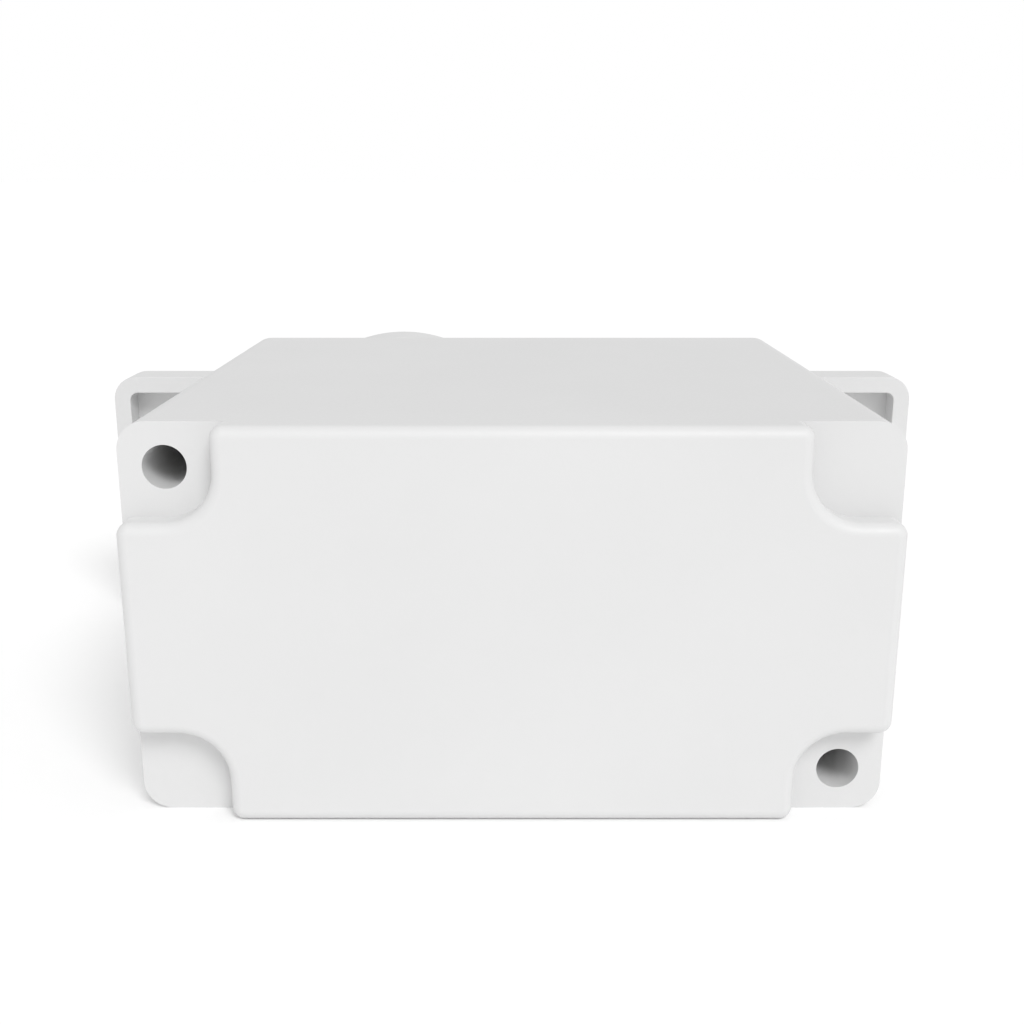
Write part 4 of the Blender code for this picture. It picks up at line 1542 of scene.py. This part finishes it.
@dataclass(frozen=True)
class ThermalFuse(BoardPart):
    """A thermal fuse with a resin cone at both ends, on leads bent down to the board."""

    ending: str = "sealed"
    slot: str = "fuse_case"
    radius: float = 1.95 * MM
    length: float = 11.0 * MM
    edge: float = 0.1 * MM
    cone_length: float = 1.4 * MM
    cone_foot: float = 1.5 * MM
    cone_tip: float = 0.8 * MM
    sharp: float = 30.0
    lead_pitch: float = 17.0 * MM
    lead_bend: float = 1.6 * MM
    bend_steps: int = 8

    def model(self) -> tuple[Piece, list[Point]]:
        """Model the fuse, sealed at both ends, on its two leads.

        Returns:
            The fuse, and where its leads meet the board.
        """
        x, z = middle_of(self.nodes[0])
        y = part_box(self.nodes[0])[0].y + self.radius
        half = self.length / 2
        cone = half - self.cone_length
        end = [(0.0, half), (self.cone_tip, half), (self.cone_foot, cone)]
        end += [(self.radius - self.edge, cone), (self.radius, cone - self.edge)]
        profile = [(radius, -along) for radius, along in end] + end[::-1]
        body = spun(profile, Vector((x, y, z)), Axis.X, SMALL_SIDES)
        pieces = [finished(body, Look.FUSE_CASE, self.sharp)]
        out = self.lead_pitch / 2
        elbow = arc((out - self.lead_bend, self.lead_bend), self.lead_bend, -90, 0, self.bend_steps)
        for side in SIDES:
            route = [Vector((x + side * (half - OVERRUN), y, z))]
            route += [Vector((x + side * across, y + down, z)) for across, down in elbow]
            route += [Vector((x + side * out, self.lead.board_y, z))]
            pieces.append(self.lead.bent(route))
        return joined(pieces), [(x + side * out, z) for side in SIDES]


@dataclass(frozen=True)
class FilmCapacitor(BoardPart):
    """A box film capacitor, with a sunk resin fill at its foot."""

    ending: str = "boxed"
    slot: str = "capacitor_case"
    stand_off: float = 2.0 * MM
    edge: float = 0.6 * MM
    edge_segments: int = 4
    rim: float = 0.7 * MM
    fill_sink: float = 0.5 * MM
    lead_inset: float = 1.25 * MM
    lead_sink: float = 2.0 * MM

    def model(self) -> tuple[Piece, list[Point]]:
        """Model the box on its two leads.

        Returns:
            The capacitor, and where its leads meet the board.
        """
        low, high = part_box(self.nodes[0])
        x, z = middle_of(self.nodes[0])
        foot_y = self.lead.board_y - self.stand_off
        box = block(low, (high.x, foot_y, high.z))
        round_edges(box, lambda a, b: not lies_at(foot_y, a, b), self.edge, self.edge_segments)
        fill = block(
            (low.x + self.rim, foot_y - self.fill_sink, low.z + self.rim),
            (high.x - self.rim, foot_y + OVERRUN, high.z - self.rim),
        )
        combine(box, Cut.TAKE, [fill])
        pieces = [finished(box, Look.FILM_CASE)]
        out = (high.z - low.z) / 2 - self.lead_inset
        feet = [(x, z + side * out) for side in SIDES]
        pieces += [self.lead.straight(foot, foot_y - self.lead_sink) for foot in feet]
        return joined(pieces), feet


@dataclass(frozen=True)
class GasTube(BoardPart):
    """A gas tube: a ceramic barrel between two metal caps, each with a dimple in its end."""

    ending: str = "capped"
    slot: str = "gas_tube_ceramic"
    cap: float = 1.2 * MM
    cap_lip: float = 0.4 * MM
    cap_edge: float = 0.2 * MM
    # Shares of the cap's radius.
    dimple_mouth: float = 0.45
    dimple_floor: float = 0.4
    sharp: float = 30.0

    def model(self) -> tuple[Piece, list[Point]]:
        """Model the tube on its two leads.

        Returns:
            The tube, and where its leads meet the board.
        """
        low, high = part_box(self.nodes[0])
        x, z = middle_of(self.nodes[0])
        radius = (high.z - low.z) / 2
        half = (high.x - low.x) / 2
        y = low.y + radius
        centre = Vector((x, y, z))
        waist = radius - self.cap_lip
        step = half - self.cap
        soft = self.cap_edge
        barrel = spun([(0.0, -step), (waist, -step), (waist, step), (0.0, step)], centre, Axis.X, MID_SIDES)
        pieces = [finished(barrel, Look.CERAMIC)]
        rim = [(0.0, step), (radius - soft, step), (radius, step + soft), (radius, half - soft)]
        rim += [(radius - soft, half), (self.dimple_mouth * radius, half)]
        rim += [(self.dimple_floor * radius, half - soft), (0.0, half - soft)]
        for side in SIDES:
            cap = spun([(r, side * along) for r, along in rim], centre, Axis.X, MID_SIDES)
            pieces.append(finished(cap, Look.ZINC, self.sharp))
        feet = [(x + side * (half - self.cap / 2), z) for side in SIDES]
        pieces += [self.lead.straight(foot, y) for foot in feet]
        return joined(pieces), feet


@dataclass(frozen=True)
class SurgeBoard:
    """The parts on the circuit board, and the solder joints of their leads behind it."""

    lines: tuple[str, ...] = ("line_1", "line_2")
    # A joint's half section in millimetres, as (radius, height): its toe, its climb to the lead, the cut end.
    joint_foot: tuple[Point, ...] = ((0.0, 0.0), (1.3, 0.0), (1.3, 0.06), (0.975, 0.14))
    joint_tip: tuple[Point, ...] = ((0.75, 0.35), (0.5, 0.56), (0.4, 0.8), (0.0, 0.8))
    joint_sides: int = 20
    joint_sharp: float = 60.0

    def solder(self, feet: Sequence[Point], board_y: float) -> None:
        """Model one solder joint and copy it to every lead.

        Args:
            feet: Where the leads go through the board.
            board_y: Plane of the board's rear face.
        """
        profile = [(radius * MM, height * MM) for radius, height in self.joint_foot + self.joint_tip]
        x, z = feet[0]
        first = spun(profile, Vector((x, board_y, z)), Axis.Y, self.joint_sides)
        made = spread(finished(first, Look.SOLDER, self.joint_sharp), feet)
        install(joined(made), "solder_joints", "base", [])

    def build(self) -> None:
        """Model everything on the board."""
        front, rear = (corner.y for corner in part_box("circuit_board"))
        lead = Lead(front)
        discs = tuple(f"varistor_{line}_{end}" for line in self.lines for end in ("neutral", "ground"))
        kinds = (
            Varistor(discs, lead),
            ThermalFuse(tuple(f"thermal_fuse_{line}" for line in self.lines), lead),
            FilmCapacitor(tuple(f"filter_capacitor_{line}" for line in self.lines), lead),
            GasTube(("gas_tube",), lead),
        )
        feet = [foot for kind in kinds for foot in kind.build()]
        self.solder(feet, rear)


def dress(nodes: dict[str, Piece]) -> None:
    """Give their finishes to the CAD nodes that show as they are.

    Args:
        nodes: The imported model's nodes, by name.
    """
    looks = {"circuit_board": Look.LAMINATE, "base_gasket": Look.SEAL}
    looks |= {f"lead_terminal_{name}": Look.BRASS for name in ("line_1", "line_2", "neutral", "ground")}
    looks |= {f"closing_washer_{name}": Look.ZINC for name in ("upper", "lower")}
    for name, look in looks.items():
        paint(nodes[name], look)
        LOG.info("%s: CAD node dressed", name)


def aimed(name: str, data: bpy.types.ID, back: Vector) -> Piece:
    """Put a lamp or a camera in the scene.

    Args:
        name: Its name.
        data: Its own settings.
        back: The direction from what it looks at to itself.

    Returns:
        The new object.
    """
    item = bpy.data.objects.new(name, data)
    item.rotation_euler = (-back).to_track_quat("-Z", "Y").to_euler()
    bpy.context.scene.collection.objects.link(item)
    return item


@dataclass(frozen=True)
class Studio:
    """A plain pale floor, soft light and the camera."""

    elevation: float = 15.0
    distance: float = 164.8 * MM
    view_degrees: float = 45.0
    target: tuple[float, float, float] = (0.0, 0.0, 20.45 * MM)
    floor_size: float = 200.0
    floor_shade: str = "fefefe"
    floor_roughness: float = 0.9
    sky_shade: str = "ffffff"
    ambient: float = 0.72
    backdrop: float = 1.0
    key_from: tuple[float, float, float] = (0.28, -0.64, 0.71)
    key_strength: float = 1.45
    key_spread: float = 24.0

    def lay_floor(self) -> None:
        """Lay a floor so wide that its edge doesn't show."""
        bpy.ops.object.select_all(action="DESELECT")
        bpy.ops.mesh.primitive_plane_add(size=self.floor_size)
        floor = bpy.context.object
        floor.name = "floor"
        material = bpy.data.materials.new("pale_floor")
        material.use_nodes = True
        shader = material.node_tree.nodes["Principled BSDF"]
        shader.inputs["Base Color"].default_value = linear(self.floor_shade)
        shader.inputs["Roughness"].default_value = self.floor_roughness
        floor.data.materials.append(material)

    def fill_sky(self) -> None:
        """Light the part from all round, in front of a white backdrop."""
        world = bpy.data.worlds.new("soft_white")
        world.use_nodes = True
        tree = world.node_tree
        # The backdrop meets the lit floor in tone, so that no horizon shows, and lights the part less.
        path = add_node(tree, "ShaderNodeLightPath", {}, {})
        level = add_node(
            tree,
            "ShaderNodeMapRange",
            {"To Min": self.ambient, "To Max": self.backdrop},
            {"Value": path.outputs["Is Camera Ray"]},
        )
        sky = tree.nodes["Background"]
        sky.inputs["Color"].default_value = linear(self.sky_shade)
        tree.links.new(level.outputs["Result"], sky.inputs["Strength"])
        bpy.context.scene.world = world
        bpy.context.scene.view_settings.view_transform = "Standard"

    def hang_key(self) -> None:
        """Hang a wide soft source a long way off, so that the floor is lit evenly."""
        data = bpy.data.lights.new("key", "SUN")
        data.energy = self.key_strength
        data.angle = math.radians(self.key_spread)
        aimed("key", data, Vector(self.key_from))

    def set_camera(self) -> None:
        """Set the camera before the part, a little above it."""
        data = bpy.data.cameras.new("camera")
        data.lens = data.sensor_width / 2 / math.tan(math.radians(self.view_degrees) / 2)
        data.clip_start = MM
        rise = math.radians(self.elevation)
        back = Vector((0, -math.cos(rise), math.sin(rise)))
        camera = aimed("camera", data, back)
        camera.location = Vector(self.target) + back * self.distance
        bpy.context.scene.camera = camera

    def build(self) -> None:
        """Set up the floor, the light and the camera."""
        self.lay_floor()
        self.fill_sky()
        self.hang_key()
        self.set_camera()


def main() -> None:
    """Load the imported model, build every piece round it and set up the studio."""
    logging.basicConfig(level=logging.INFO, format="%(name)s: %(message)s")
    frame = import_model()
    low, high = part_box("housing")
    env = Envelope(front_y=low.y, back_y=high.y)
    base = EaredBase(env)
    Housing(env).build()
    base.build()
    NippleFitting(env).build()
    Fasteners(env, base).build()
    SurgeBoard().build()
    dress(frame["nodes"])
    Studio().build()


if __name__ == "__main__":
    main()
